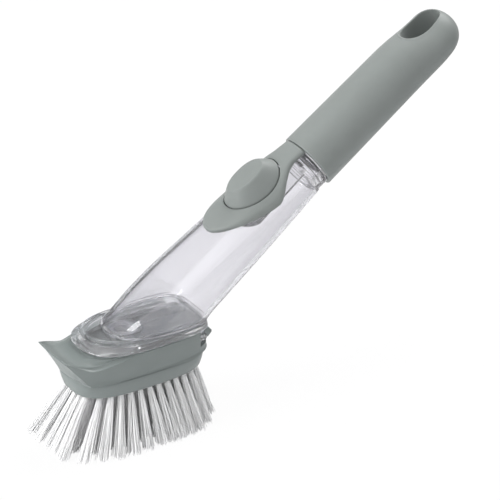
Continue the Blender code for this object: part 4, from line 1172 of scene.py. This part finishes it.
# Front, rear, half width, and how square the front and the rear are
SEAT = (0.0338, 0.0402, 0.0225, 2.6, 5)
SLOT = (0.0263, 0.0360, 0.0138, 2.6, 14)
RAIL_ROOM = (0.0293, 0.0360, 0.0168, 2.6, 14)
FLOOR_HIGH = 0.0450
RAIL_LOW = 0.0486
WALL_END = 0.0326
RIM_DIP = 0.0519
FOLD_DROP = 0.0017
FOLD_INSET = 0.0020
REAR_STEPS = 20
SIDE_STEPS = 26
FRONT_STEPS = 10
WALL_LEVELS = 24
SCOOP_RINGS = 9
SCOOP_SAG = 0.16
SEAT_FRONT_HIGH = 0.0536
SLOT_HIGH = 0.0532
SEAL_GROOVE_LOW = 0.0428
PLATE = (0.039, 0.0395, 0.0221)
PLATE_POWER = 3.0
PLATE_INSET = 0.012
PLATE_FLARE = 0.0015
CHAMBER = (0.019, 0.019, 0.0155)
CHAMBER_POWER = 4.0
CHAMBER_X = -0.010
CHAMBER_LOW = 0.0363
DRIP_RADIUS = 0.0025
DRIP_STEPS = 32
COLLAR_SHAPE = ((0.0001, 0.0006), (0.0001, -0.0001), (0.0005, -0.00015), (0.0008, 0.0002))
COLLAR_STEPS = 14
DIP_START = -0.0120
DIP_END = -0.0370
CUT_END = 0.07
TONGUE_ROOT = 0.0137
TONGUE_HALF = 0.0090
CUT_OVERRUN = 0.002


def carrier_outline(share):
    """The carrier's outline between its low cheeks (0) and the scraper's tip (1)."""
    corner_x, corner_y, bow = [blend(low, high, share) for low, high in zip(CHEEK, TIP)]
    half = []
    for across, along in quarter_turn(REAR_STEPS):
        power = 2 / CARRIER_POWER
        half.append((CARRIER_REAR * along ** power, CARRIER_HALF * across ** power))
    for index in range(1, SIDE_STEPS + 1):
        step = index / SIDE_STEPS
        half.append((-corner_x * step, blend(CARRIER_HALF, corner_y, step ** SIDE_POWER)))
    for index in range(1, FRONT_STEPS + 1):
        step = index / FRONT_STEPS
        half.append((-corner_x - bow * math.sin(math.pi / 2 * step), corner_y * (1 - step)))
    return half + [(x, -y) for x, y in half[1:-1]][::-1]


def rim_height(x):
    """Height of the carrier's rim: level at the sides, dipping, then rising to the scraper."""
    if x > DIP_START:
        return CARRIER_TOP
    if x > DIP_END:
        return blend(CARRIER_TOP, RIM_DIP, ease((DIP_START - x) / 0.0250))
    return blend(RIM_DIP, SCRAPER_HIGH, min((DIP_END - x) / 0.0120, 1) ** 1.5)


def fold_share(x):
    """How far the side wall's own edge has parted from the rim: not at the scraper's corner."""
    return ease((x + 0.0478) / 0.0110) * ease((-0.0040 - x) / 0.0160)


def scoop_rings(rim, seat):
    """Rings from the rim in to the foot's seat, which sag into a scoop behind the scraper."""
    rings = []
    for step in range(1, SCOOP_RINGS):
        share = step / SCOOP_RINGS
        row = []
        for start, end in zip(rim, seat):
            reach = (Vector((start.x, start.y, 0)) - Vector((end.x, end.y, 0))).length
            front = ease((DIP_START - start.x) / 0.02)
            point = start.lerp(end, share)
            point.z -= SCOOP_SAG * reach * math.sin(math.pi * share) * front
            row.append(point)
        rings.append(row)
    return rings


def make_carrier(sizes):
    """The head carrier: scraper, scoop, side walls with rails and the floor with the inlet."""
    tip = carrier_outline(1)
    rims = [rim_height(x) for x, _ in tip]
    folds = [fold_share(x) for x, _ in tip]
    shares = [(rim - CARRIER_LOW) / (SCRAPER_HIGH - CARRIER_LOW) for rim in rims]
    levels = [carrier_outline(index / WALL_LEVELS) for index in range(WALL_LEVELS + 1)]

    def wall_point(index, share, height):
        step = min(share * WALL_LEVELS, WALL_LEVELS - 0.0001)
        low, high = levels[int(step)][index], levels[int(step) + 1][index]
        part = step - int(step)
        return Vector((blend(low[0], high[0], part), blend(low[1], high[1], part), height))

    def wall_ring(part, inset=0.0, drop=0.0, fold_in=0.0, fold_down=0.0):
        points = []
        for index, (share, rim, fold) in enumerate(zip(shares, rims, folds)):
            height = blend(CARRIER_LOW, rim - FOLD_DROP * fold, part) - drop
            height += FOLD_DROP * fold * (1 - fold_down) * (part == 1)
            point = wall_point(index, share * part, height)
            if inset:
                point -= Vector((point.x, point.y, 0)).normalized() * inset
            point.y -= math.copysign(FOLD_INSET * fold * fold_in, point.y)
            points.append(point)
        return points

    edge = sizes.edge
    rings = [
        [Vector((p.x, p.y, CARRIER_LOW + edge * rise)) for p in wall_ring(0, edge * inset)]
        for inset, rise in ((1, 0), (0.1, 0.1), (-0.5, 0.5), (-0.5, 1.1), (-0.1, 1.6))
    ]
    rings += [wall_ring(part) for part in (0.15, 0.3, 0.45, 0.6, 0.75, 0.88, 0.94)]
    lip = sizes.lip
    for inset, drop, fold_in, fold_down in (
        (0, 0.30, 0, 1), (0.06, 0.12, 0.05, 0.96), (0.16, 0.04, 0.22, 0.93),
        (0.26, 0, 0.48, 0.90), (0.36, 0, 0.72, 0.72), (0.48, 0, 0.86, 0.30),
        (0.62, 0, 0.94, 0.06), (0.78, 0.08, 1.05, 0), (0.95, 0.30, 1.25, 0.02),
    ):
        rings.append(wall_ring(1, lip * inset, lip * drop, fold_in, fold_down))
    turns = [math.atan2(point.y, -point.x) for point in wall_ring(1)]
    seat = egg(*SEAT, CARRIER_TOP, turns)
    for point in seat:
        point.z = blend(CARRIER_TOP, SEAT_FRONT_HIGH, ease((-point.x - 0.010) / 0.020))
    rings += scoop_rings(rings[-1], seat)
    rings += [
        seat,
        [Vector((p.x * 0.97, p.y * 0.97, p.z - 0.0003)) for p in seat],
        egg(*SLOT, SLOT_HIGH, turns), egg(*SLOT, RAIL_LOW, turns),
        egg(*RAIL_ROOM, RAIL_LOW, turns), egg(*RAIL_ROOM, FLOOR_HIGH, turns),
    ]
    rings += [valve_circle(radius, height, turns) for radius, height in (
        (0.0069, FLOOR_HIGH), (0.0069, SEAL_GROOVE_LOW), (0.0043, SEAL_GROOVE_LOW),
        (0.0043, FLOOR_HIGH), (0.0032, FLOOR_HIGH), (0.0032, CARRIER_LOW),
    )]
    rings.append(rings[0])
    shape = bmesh.new()
    skin(shape, rings)
    shape = carved(shape, [
        box_shape((WALL_END, -0.03, FLOOR_HIGH), (CUT_END, 0.03, 0.07)),
        box_shape(
            (TONGUE_ROOT, -TONGUE_HALF, CARRIER_LOW - CUT_OVERRUN),
            (CUT_END, TONGUE_HALF, FLOOR_HIGH + CUT_OVERRUN),
        ),
    ])
    finish_piece(shape, "carrier_scraper", "head", "hard_grey", ["head_carrier"])


def make_plate(sizes):
    """The bristle plate with softly rounded edges and a collar round each tuft."""
    low, high = PLATE_LO[2], PLATE_HI[2]
    edge = sizes.edge * 1.6

    def outline(grow, height):
        reaches = [reach + grow for reach in PLATE]
        return [Vector((x, y, height)) for x, y in superellipse(*reaches, PLATE_POWER)]

    rings = [outline(-PLATE_INSET, low), outline(-edge, low)]
    for rise, run in quarter_turn(EDGE_STEPS, 1):
        rings.append(outline(-edge * (1 - rise), low + edge * (1 - run)))
    for share, height in ((0.25, 0.15), (0.5, 0.3), (0.75, 0.5), (0.93, 0.75), (1, 0.94)):
        rings.append(outline(PLATE_FLARE * share, blend(low + edge, high, height)))
    rings += [outline(PLATE_FLARE - 0.0003, high), outline(-PLATE_INSET, high)]
    shape = bmesh.new()
    skin(shape, rings, start_cap=True, end_cap=True)
    chamber = superellipse(*CHAMBER, CHAMBER_POWER, centre=CHAMBER_X)
    drip = [point.xy for point in valve_circle(DRIP_RADIUS, 0, full_turn(DRIP_STEPS))]
    shape = carved(shape, [
        box_shape((0.0130, -TONGUE_HALF, high - 0.0025), (0.05, TONGUE_HALF, high + CUT_OVERRUN)),
        upright_form(chamber, (CHAMBER_LOW, high + CUT_OVERRUN)),
        upright_form(drip, (low - CUT_OVERRUN, high)),
    ])
    collar_profile = [(TUFT_RADIUS + out, low + up) for out, up in COLLAR_SHAPE]
    for place_at in all_tufts():
        collar = bmesh.new()
        turned(collar, collar_profile, closed=True, centre=place_at, steps=COLLAR_STEPS)
        merged(shape, collar)
    finish_piece(shape, "tuft_plate", "head", "hard_grey", ["bristle_plate"])


# Bristles

BRISTLE_TOP = PLATE_LO[2]
TUFT_PITCH = 0.0056
TUFT_SPACING = 0.0060
TUFT_RADIUS = 0.0015
TUFT_COLUMNS = 13
SEED = 7
GOLDEN_TURN = 2.39996
FILAMENT_SHARES = (0, 0.35, 0.7, 1)
COLUMN_GROUPS = ((0, 1), (2, 3), (4, 5), (6, 7), (8, 9), (10, 11, 12))
BACKING = (0.0369, 0.0374, 0.0200)
TUFT_MARGIN = 0.0016
TIP_FRONT = 0.0595
TIP_REAR = 0.0425
TIP_HALF_WIDTH = 0.0352
TIP_SPREAD = 0.0038
TIP_REAR_LIMIT = 0.0446
BACKING_POWER = 3
ROOT_DEPTH = 0.0004
ROOT_SHARE = 0.92
TUFT_LEAN = 0.0006
TUFT_TRIM = 0.0007
FILAMENT_STRAY = 0.0003
FILAMENT_TRIM = 0.0005
REACH_STRAY = 0.25
SIDE_LIMIT = 0.0004


def column_tufts(column):
    """Roots of one column of tufts, spread from edge to edge."""
    x = (column - (TUFT_COLUMNS - 1) / 2) * TUFT_PITCH
    reach = (BACKING[0] if x < 0 else BACKING[1]) - TUFT_MARGIN
    width_share = (1 - (abs(x) / reach) ** BACKING_POWER) ** (1 / BACKING_POWER)
    half = (BACKING[2] - TUFT_MARGIN) * width_share
    count = 2 * max(round(half / TUFT_SPACING), 1) + 1
    places = [(x, blend(-half, half, index / (count - 1))) for index in range(count)]
    return [(x, y) for x, y in places if math.hypot(x - VALVE_X, y) > DRIP_RADIUS + TUFT_MARGIN]


def all_tufts():
    """Roots of all tufts."""
    return [tuft for column in range(TUFT_COLUMNS) for tuft in column_tufts(column)]


def tuft_tip(x, y):
    """Where the middle of a tuft ends on the floor."""
    reach_share = TIP_FRONT / BACKING[0] if x < 0 else TIP_REAR / BACKING[1]
    return x * reach_share, y * TIP_HALF_WIDTH / BACKING[2]


def filament_section(centre, radius, turn):
    """A square section of one filament."""
    return [
        centre + Vector((radius * math.cos(turn + side), radius * math.sin(turn + side), 0))
        for side in full_turn(4)
    ]


def make_tuft(sizes, x, y, chance):
    """One tuft: filaments extruded together, each slightly bowed and cut a little unevenly."""
    shape = bmesh.new()
    tip_x, tip_y = tuft_tip(x, y)
    tip_x += chance.uniform(-TUFT_LEAN, TUFT_LEAN)
    tip_y += chance.uniform(-TUFT_LEAN, TUFT_LEAN)
    length = chance.uniform(0, TUFT_TRIM)

    def stray(x=0.0, y=0.0):
        return Vector((x + chance.gauss(0, FILAMENT_STRAY), y + chance.gauss(0, FILAMENT_STRAY), 0))

    stages = [[] for _ in FILAMENT_SHARES]
    for index in range(sizes.filaments):
        radius = math.sqrt((index + 0.5) / sizes.filaments)
        turn = index * GOLDEN_TURN
        out = Vector((radius * math.cos(turn), radius * math.sin(turn), 0))
        root = Vector((x, y, BRISTLE_TOP + ROOT_DEPTH)) + out * TUFT_RADIUS * ROOT_SHARE
        reach = TIP_SPREAD * (1 + REACH_STRAY * chance.uniform(-1, 1))
        tip = stray(tip_x, tip_y) + out * reach
        tip.x = min(max(tip.x, CAD_BOX[0][0] + 0.0003), TIP_REAR_LIMIT)
        tip.y = min(max(tip.y, CAD_BOX[0][1] - SIDE_LIMIT), CAD_BOX[1][1] + SIDE_LIMIT)
        tip.z = length * index / sizes.filaments + abs(chance.gauss(0, FILAMENT_TRIM))
        bow = stray()
        side = chance.uniform(0, math.pi)
        for share, stage in zip(FILAMENT_SHARES, stages):
            centre = root.lerp(tip, share) + bow * math.sin(math.pi * share)
            stage.append(filament_section(centre, sizes.thickness, side))
    rings = [start_ring(shape, points) for points in stages[0]]
    for places in stages[1:]:
        rings = grow_rings(shape, rings, places)
    ends = [edge for ring in rings for edge in ring_edges(shape, ring)]
    bmesh.ops.edgeloop_fill(shape, edges=ends)
    return shape


def make_bristles(sizes):
    """Six zones of tufts."""
    chance = random.Random(SEED)
    for zone, columns in enumerate(COLUMN_GROUPS, start=1):
        shape = bmesh.new()
        for column in columns:
            for x, y in column_tufts(column):
                merged(shape, make_tuft(sizes, x, y, chance))
        finish_piece(
            shape, f"bristle_zone_{zone}", "head", "white_nylon", [f"bristles_{zone}"],
            sharp=SHARP_NYLON,
        )


# Small pieces that show through the clear plastic

LUGS = 4
BELLOWS_WALL = 0.0008
BELLOWS_RADIUS = 0.0050
BELLOWS_FOLDS = 6
FOLD_STEPS = 6
FOLD_DEPTH = 0.0014
SEAL_RADIUS = 0.0125
SEAL_THICK = 0.0012
SEAL_SPOT = 0.1412
SEAL_SIDES = 16
LATCH_WELD = 0.00001
LATCH_FLAT = 0.02
LATCH_EDGE = 0.00025


def make_valve():
    """The slit rubber valve in the foot and the ring that holds it."""
    low = FOOT_LO[2] + 0.0070
    shape = bmesh.new()
    turned(shape, [
        (0, low - 0.0016), (0.0012, low - 0.0015), (0.0022, low + 0.0012),
        (0.0026, low + 0.0016), (0.0054, low + 0.0016), (0.0058, low + 0.0013),
        (0.0060, low + 0.0010), (0.0060, low + 0.0003), (0.0057, low), (0.0027, low),
        (0.0024, low - 0.0004), (0.0016, low - 0.0023), (0.0014, low - 0.0025), (0, low - 0.0025),
    ], centre=(VALVE_X, 0))
    finish_piece(shape, "slit_valve", "wand", "pale_rubber", ["outlet_valve"])
    base = low + 0.0019
    high = FOOT_HI[2]
    step = high - 0.0027
    shape = bmesh.new()
    turned(shape, [
        (0.0086, high - 0.0003), (0.0083, high), (0.0066, high), (0.0064, high - 0.0003),
        (0.0064, high - 0.0010), (0.0050, high - 0.0010), (0.0048, high - 0.0004),
        (0.0046, high - 0.0006), (0.0046, base), (0.0060, base), (0.0060, step), (0.0086, step),
    ], closed=True, centre=(VALVE_X, 0))
    middle = Matrix.Translation((VALVE_X, 0, 0))
    for index in range(LUGS):
        lug = box_shape((0.0075, -0.0015, step), (0.0095, 0.0015, high - 0.0010))
        rounded(lug, 0.0003)
        turn = Matrix.Rotation(math.tau * (index + 0.5) / LUGS, 4, "Z")
        bmesh.ops.transform(lug, matrix=middle @ turn, verts=lug.verts)
        merged(shape, lug)
    finish_piece(
        shape, "retainer_ring", "wand", "clear_plastic", ["valve_retainer"], material="ring"
    )


def make_bellows():
    """The bellows under the button and its clamp; the bellows keeps a mesh of its own."""
    middle = Matrix.Translation((0, 0, BUTTON_SPOT))
    to_button = WAND @ middle @ Matrix.Rotation(math.pi / 2, 4, "Y")
    low = SHELF + GAP
    high = BUTTON_TOP - BUTTON_WALL - 0.0009 - GAP
    wall = BELLOWS_WALL
    outer = []
    for index in range(BELLOWS_FOLDS * FOLD_STEPS + 1):
        share = index / (BELLOWS_FOLDS * FOLD_STEPS)
        swing = (1 + math.cos(math.pi * share * BELLOWS_FOLDS)) / 2
        height = blend(high - 0.0011, low + wall + 0.0006, share)
        outer.append((BELLOWS_RADIUS + FOLD_DEPTH * swing, height))
    inner = [(radius - wall, height) for radius, height in outer]
    shape = bmesh.new()
    turned(shape, [
        (0, high), (0.0048, high), *outer, (0.0066, low + wall), (0.0092, low + wall),
        (0.0094, low + wall / 2), (0.0094, low), (0.0033, low), *inner[::-1],
        (0.0042, high - wall), (0, high - wall),
    ])
    bellows = finish_piece(
        shape, "rubber_bellows", "wand", "pale_rubber", ["pump_bellows"], to_button
    )
    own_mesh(bellows)
    base = low + wall + GAP
    shape = bmesh.new()
    turned(shape, [
        (0.0102, base), (0.0102, base + 0.0012), (0.0098, base + 0.0016),
        (0.0072, base + 0.0016), (0.0068, base + 0.0012), (0.0068, base),
    ], closed=True)
    finish_piece(shape, "bellows_ring", "wand", "core_grey", ["bellows_clamp"], to_button)


def make_seals():
    """The rubber ring at the neck and the seal round the head's inlet."""
    section = []
    for turn in full_turn(SEAL_SIDES):
        radius = SEAL_RADIUS + SEAL_THICK * math.cos(turn)
        section.append((radius, SEAL_SPOT + SEAL_THICK * math.sin(turn)))
    shape = bmesh.new()
    turned(shape, section, closed=True)
    finish_piece(shape, "neck_ring_seal", "neck_ring", "pale_rubber", ["neck_seal_ring"], WAND)
    low, high = FLOOR_HIGH - 0.0019, FLOOR_HIGH
    shape = bmesh.new()
    turned(shape, [
        (0.0066, low), (0.0066, high - 0.0003), (0.0063, high), (0.0049, high),
        (0.0046, high - 0.0003), (0.0046, low),
    ], closed=True, centre=(VALVE_X, 0))
    finish_piece(shape, "inlet_ring", "head", "pale_rubber", ["inlet_seal"])


def make_latch():
    """The latch tongue with softened edges."""
    shape = bmesh.new()
    shape.from_mesh(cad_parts["latch_tongue"].data)
    bmesh.ops.remove_doubles(shape, verts=shape.verts, dist=LATCH_WELD)
    bmesh.ops.dissolve_limit(
        shape, angle_limit=LATCH_FLAT, verts=shape.verts, edges=shape.edges
    )
    rounded(shape, LATCH_EDGE)
    finish_piece(shape, "latch_spring", "latch", "hard_grey", ["latch_tongue"])


def dress_core():
    """Give the grip's inner cap its finish."""
    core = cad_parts["grip_core"]
    core.data.materials.clear()
    core.data.materials.append(MATERIALS["core_grey"])


# Stage

CAMERA_PLACE = (-0.5139, -0.9113, 0.6374)
CAMERA_RIGHT = Vector((0.8387, -0.5446, 0))
CAMERA_UP = Vector((0.2472, 0.3808, 0.8910))
CAMERA_BACK = Vector((-0.4853, -0.7473, 0.4540))
CAMERA_LENS = 157.2
SIDE_LIGHT = 0.08
FLOOR_SWEEP = ((2.2, 0), (2.7, 0.08), (3.05, 0.32), (3.25, 0.7), (3.3, 3.5))
FLOOR_HALF = 4
FLOOR_TURN = math.radians(57)
FLOOR_COLOUR = (0.86, 0.86, 0.87, 1)
GLOW_SHARE = 0.94
SKY_LIGHT = 0.48
WHITE = (1, 1, 1, 1)
BRUSH_MIDDLE = Vector((0.08, 0, 0.08))

# Each lamp's name, its place seen from the brush, its size and its power
LAMPS = (
    ("key_lamp", -CAMERA_RIGHT * 1.3 + Vector((0, 0, 0.9)) + CAMERA_BACK * 0.6, 0.8, 22.0),
    ("fill_lamp", CAMERA_RIGHT * 1.4 + Vector((0, 0, 0.5)) + CAMERA_BACK * 0.8, 1.2, 1.4),
    ("top_lamp", Vector((0.8, 0.3, 1.1)), 1.0, 16.0),
    ("low_lamp", Vector((-1.3, -0.3, 0.12)), 0.6, 5.0),
)


def larger(tree, first, second):
    """The larger of two values."""
    return node(tree, "ShaderNodeMath", {0: first, 1: second}, operation="MAXIMUM").outputs[0]


def fall_off(tree, source, path, start, end):
    """Background light: full for the camera, darker to both sides for the clear plastic."""
    aside = node(
        tree, "ShaderNodeVectorMath", {0: source, 1: CAMERA_RIGHT}, operation="DOT_PRODUCT"
    )
    size = node(tree, "ShaderNodeMath", {0: aside.outputs["Value"]}, operation="ABSOLUTE")
    light = ranged(tree, size.outputs[0], start, end, 1.0, SIDE_LIGHT)
    return larger(tree, light, path.outputs["Is Camera Ray"])


def mixed_surface(tree, output, share, first, second):
    """The output's surface, mixed of two shaders."""
    mix = node(tree, "ShaderNodeMixShader", {0: share, 1: first.outputs[0], 2: second.outputs[0]})
    node(tree, output, {"Surface": mix.outputs[0]})


def stage_material():
    """Pale floor and backdrop that read as white and still take the shadow."""
    made = bpy.data.materials.new("pale_stage")
    made.use_nodes = True
    tree = made.node_tree
    tree.nodes.clear()
    path = node(tree, "ShaderNodeLightPath")
    spot = node(tree, "ShaderNodeTexCoord")
    light = fall_off(tree, spot.outputs["Object"], path, 0.16, 0.34)
    matt = node(tree, "ShaderNodeBsdfDiffuse", {"Color": FLOOR_COLOUR})
    glow = node(tree, "ShaderNodeEmission", {"Color": WHITE, "Strength": light})
    seen = larger(tree, path.outputs["Is Camera Ray"], path.outputs["Is Glossy Ray"])
    seen = larger(tree, seen, path.outputs["Is Transmission Ray"])
    held = node(tree, "ShaderNodeMath", {0: seen, 1: GLOW_SHARE}, operation="MULTIPLY")
    mixed_surface(tree, "ShaderNodeOutputMaterial", held.outputs[0], matt, glow)
    return made


def make_floor():
    """The floor, which sweeps up behind."""
    shape = bmesh.new()
    verts = [shape.verts.new((-FLOOR_HALF, y, 0)) for y in (-FLOOR_HALF, FLOOR_HALF)]
    edges = [shape.edges.new(verts)]
    for x, z in FLOOR_SWEEP:
        made = bmesh.ops.extrude_edge_only(shape, edges=edges)
        for part in made["geom"]:
            if isinstance(part, bmesh.types.BMVert):
                part.co.x, part.co.z = x, z
        edges = [part for part in made["geom"] if isinstance(part, bmesh.types.BMEdge)]
    bmesh.ops.recalc_face_normals(shape, faces=shape.faces)
    turn = Matrix.Rotation(FLOOR_TURN, 4, "Z")
    bmesh.ops.transform(shape, matrix=turn, verts=shape.verts)
    floor = mesh_object("studio_floor", shape)
    floor.data.shade_smooth()
    floor.data.materials.append(stage_material())


def make_lamps():
    """Soft square lamps that face the brush."""
    for name, offset, size, power in LAMPS:
        data = bpy.data.lights.new(name, "AREA")
        data.shape = "SQUARE"
        data.size = size
        data.energy = power
        lamp = bpy.data.objects.new(name, data)
        lamp.location = BRUSH_MIDDLE + offset
        lamp.rotation_euler = (-offset).to_track_quat("-Z", "Y").to_euler()
        bpy.context.scene.collection.objects.link(lamp)


def make_sky():
    """A soft sky that the camera and the clear plastic see as plain white."""
    world = bpy.data.worlds.new("studio_sky")
    bpy.context.scene.world = world
    world.use_nodes = True
    tree = world.node_tree
    tree.nodes.clear()
    path = node(tree, "ShaderNodeLightPath")
    spot = node(tree, "ShaderNodeTexCoord")
    light = fall_off(tree, spot.outputs["Generated"], path, 0.35, 0.6)
    sky = node(tree, "ShaderNodeBackground", {"Color": WHITE, "Strength": SKY_LIGHT})
    plain = node(tree, "ShaderNodeBackground", {"Color": WHITE, "Strength": light})
    seen = larger(tree, path.outputs["Is Camera Ray"], path.outputs["Is Transmission Ray"])
    mixed_surface(tree, "ShaderNodeOutputWorld", seen, sky, plain)


def make_camera():
    """The camera of the photograph."""
    data = bpy.data.cameras.new("photo_camera")
    data.lens = CAMERA_LENS
    data.sensor_width = 36
    data.clip_start = 0.05
    data.clip_end = 20
    camera = bpy.data.objects.new("photo_camera", data)
    axes = Matrix((CAMERA_RIGHT, CAMERA_UP, CAMERA_BACK)).transposed()
    camera.matrix_world = Matrix.Translation(CAMERA_PLACE) @ axes.to_4x4()
    bpy.context.scene.collection.objects.link(camera)
    bpy.context.scene.camera = camera
    bpy.context.scene.view_settings.view_transform = "Standard"


# Operators, panel and registering

class BRUSH_OT_materials(bpy.types.Operator):
    """Make the finishes of the brush"""

    bl_idname = "brush.materials"
    bl_label = "Finishes"

    def execute(self, context):
        make_materials(context.scene.brush_colours)
        return {"FINISHED"}


class BRUSH_OT_grip(bpy.types.Operator):
    """Make the soft grip and finish its inner cap"""

    bl_idname = "brush.grip"
    bl_label = "Grip"

    def execute(self, context):
        make_grip(context.scene.brush_grip)
        dress_core()
        return {"FINISHED"}


class BRUSH_OT_tank(bpy.types.Operator):
    """Make the clear tank"""

    bl_idname = "brush.tank"
    bl_label = "Tank"

    def execute(self, context):
        make_tank(context.scene.brush_tank)
        return {"FINISHED"}


class BRUSH_OT_button(bpy.types.Operator):
    """Make the push button and the bezel round it"""

    bl_idname = "brush.button"
    bl_label = "Button and bezel"

    def execute(self, context):
        make_bezel(context.scene.brush_button)
        make_button(context.scene.brush_button)
        return {"FINISHED"}


class BRUSH_OT_foot(bpy.types.Operator):
    """Make the clear foot"""

    bl_idname = "brush.foot"
    bl_label = "Foot"

    def execute(self, context):
        make_foot(context.scene.brush_tank)
        return {"FINISHED"}


class BRUSH_OT_valve(bpy.types.Operator):
    """Make the valve and its ring"""

    bl_idname = "brush.valve"
    bl_label = "Valve"

    def execute(self, context):
        make_valve()
        return {"FINISHED"}


class BRUSH_OT_rubber(bpy.types.Operator):
    """Make the bellows and the rubber seals"""

    bl_idname = "brush.rubber"
    bl_label = "Bellows and seals"

    def execute(self, context):
        make_bellows()
        make_seals()
        return {"FINISHED"}


class BRUSH_OT_head(bpy.types.Operator):
    """Make the head carrier, its latch and the plate"""

    bl_idname = "brush.head"
    bl_label = "Head"

    def execute(self, context):
        make_carrier(context.scene.brush_head)
        make_plate(context.scene.brush_head)
        make_latch()
        return {"FINISHED"}


class BRUSH_OT_bristles(bpy.types.Operator):
    """Make the tufts of bristles"""

    bl_idname = "brush.bristles"
    bl_label = "Bristles"

    def execute(self, context):
        make_bristles(context.scene.brush_bristles)
        return {"FINISHED"}


class BRUSH_OT_stage(bpy.types.Operator):
    """Make the floor, lamps and camera"""

    bl_idname = "brush.stage"
    bl_label = "Stage"

    def execute(self, context):
        make_floor()
        make_lamps()
        make_sky()
        make_camera()
        return {"FINISHED"}


OPERATORS = (
    BRUSH_OT_materials, BRUSH_OT_grip, BRUSH_OT_tank, BRUSH_OT_button, BRUSH_OT_foot,
    BRUSH_OT_valve, BRUSH_OT_rubber, BRUSH_OT_head, BRUSH_OT_bristles, BRUSH_OT_stage,
)


class BRUSH_PT_panel(bpy.types.Panel):
    """The brush's pieces in the sidebar"""

    bl_label = "Dish Brush"
    bl_idname = "BRUSH_PT_panel"
    bl_space_type = "VIEW_3D"
    bl_region_type = "UI"
    bl_category = "Dish Brush"

    def draw(self, context):
        for operator in OPERATORS:
            self.layout.operator(operator.bl_idname)
        for name in SETTINGS:
            box = self.layout.box()
            settings = getattr(context.scene, name)
            for key in settings.bl_rna.properties.keys():
                if key not in ("rna_type", "name"):
                    box.prop(settings, key)


def register():
    """Make the classes known to Blender."""
    for known in (*SETTINGS.values(), *OPERATORS, BRUSH_PT_panel):
        bpy.utils.register_class(known)
    for name, group in SETTINGS.items():
        setattr(bpy.types.Scene, name, bpy.props.PointerProperty(type=group))


def unregister():
    """Take the classes out again."""
    for name in SETTINGS:
        delattr(bpy.types.Scene, name)
    for known in (BRUSH_PT_panel, *OPERATORS[::-1], *reversed(SETTINGS.values())):
        bpy.utils.unregister_class(known)


def main():
    """Make every piece and the stage."""
    register()
    bpy.ops.brush.materials()
    bpy.ops.brush.grip()
    bpy.ops.brush.tank()
    bpy.ops.brush.button()
    bpy.ops.brush.foot()
    bpy.ops.brush.valve()
    bpy.ops.brush.rubber()
    bpy.ops.brush.head()
    bpy.ops.brush.bristles()
    bpy.ops.brush.stage()


if __name__ == "__main__":
    main()
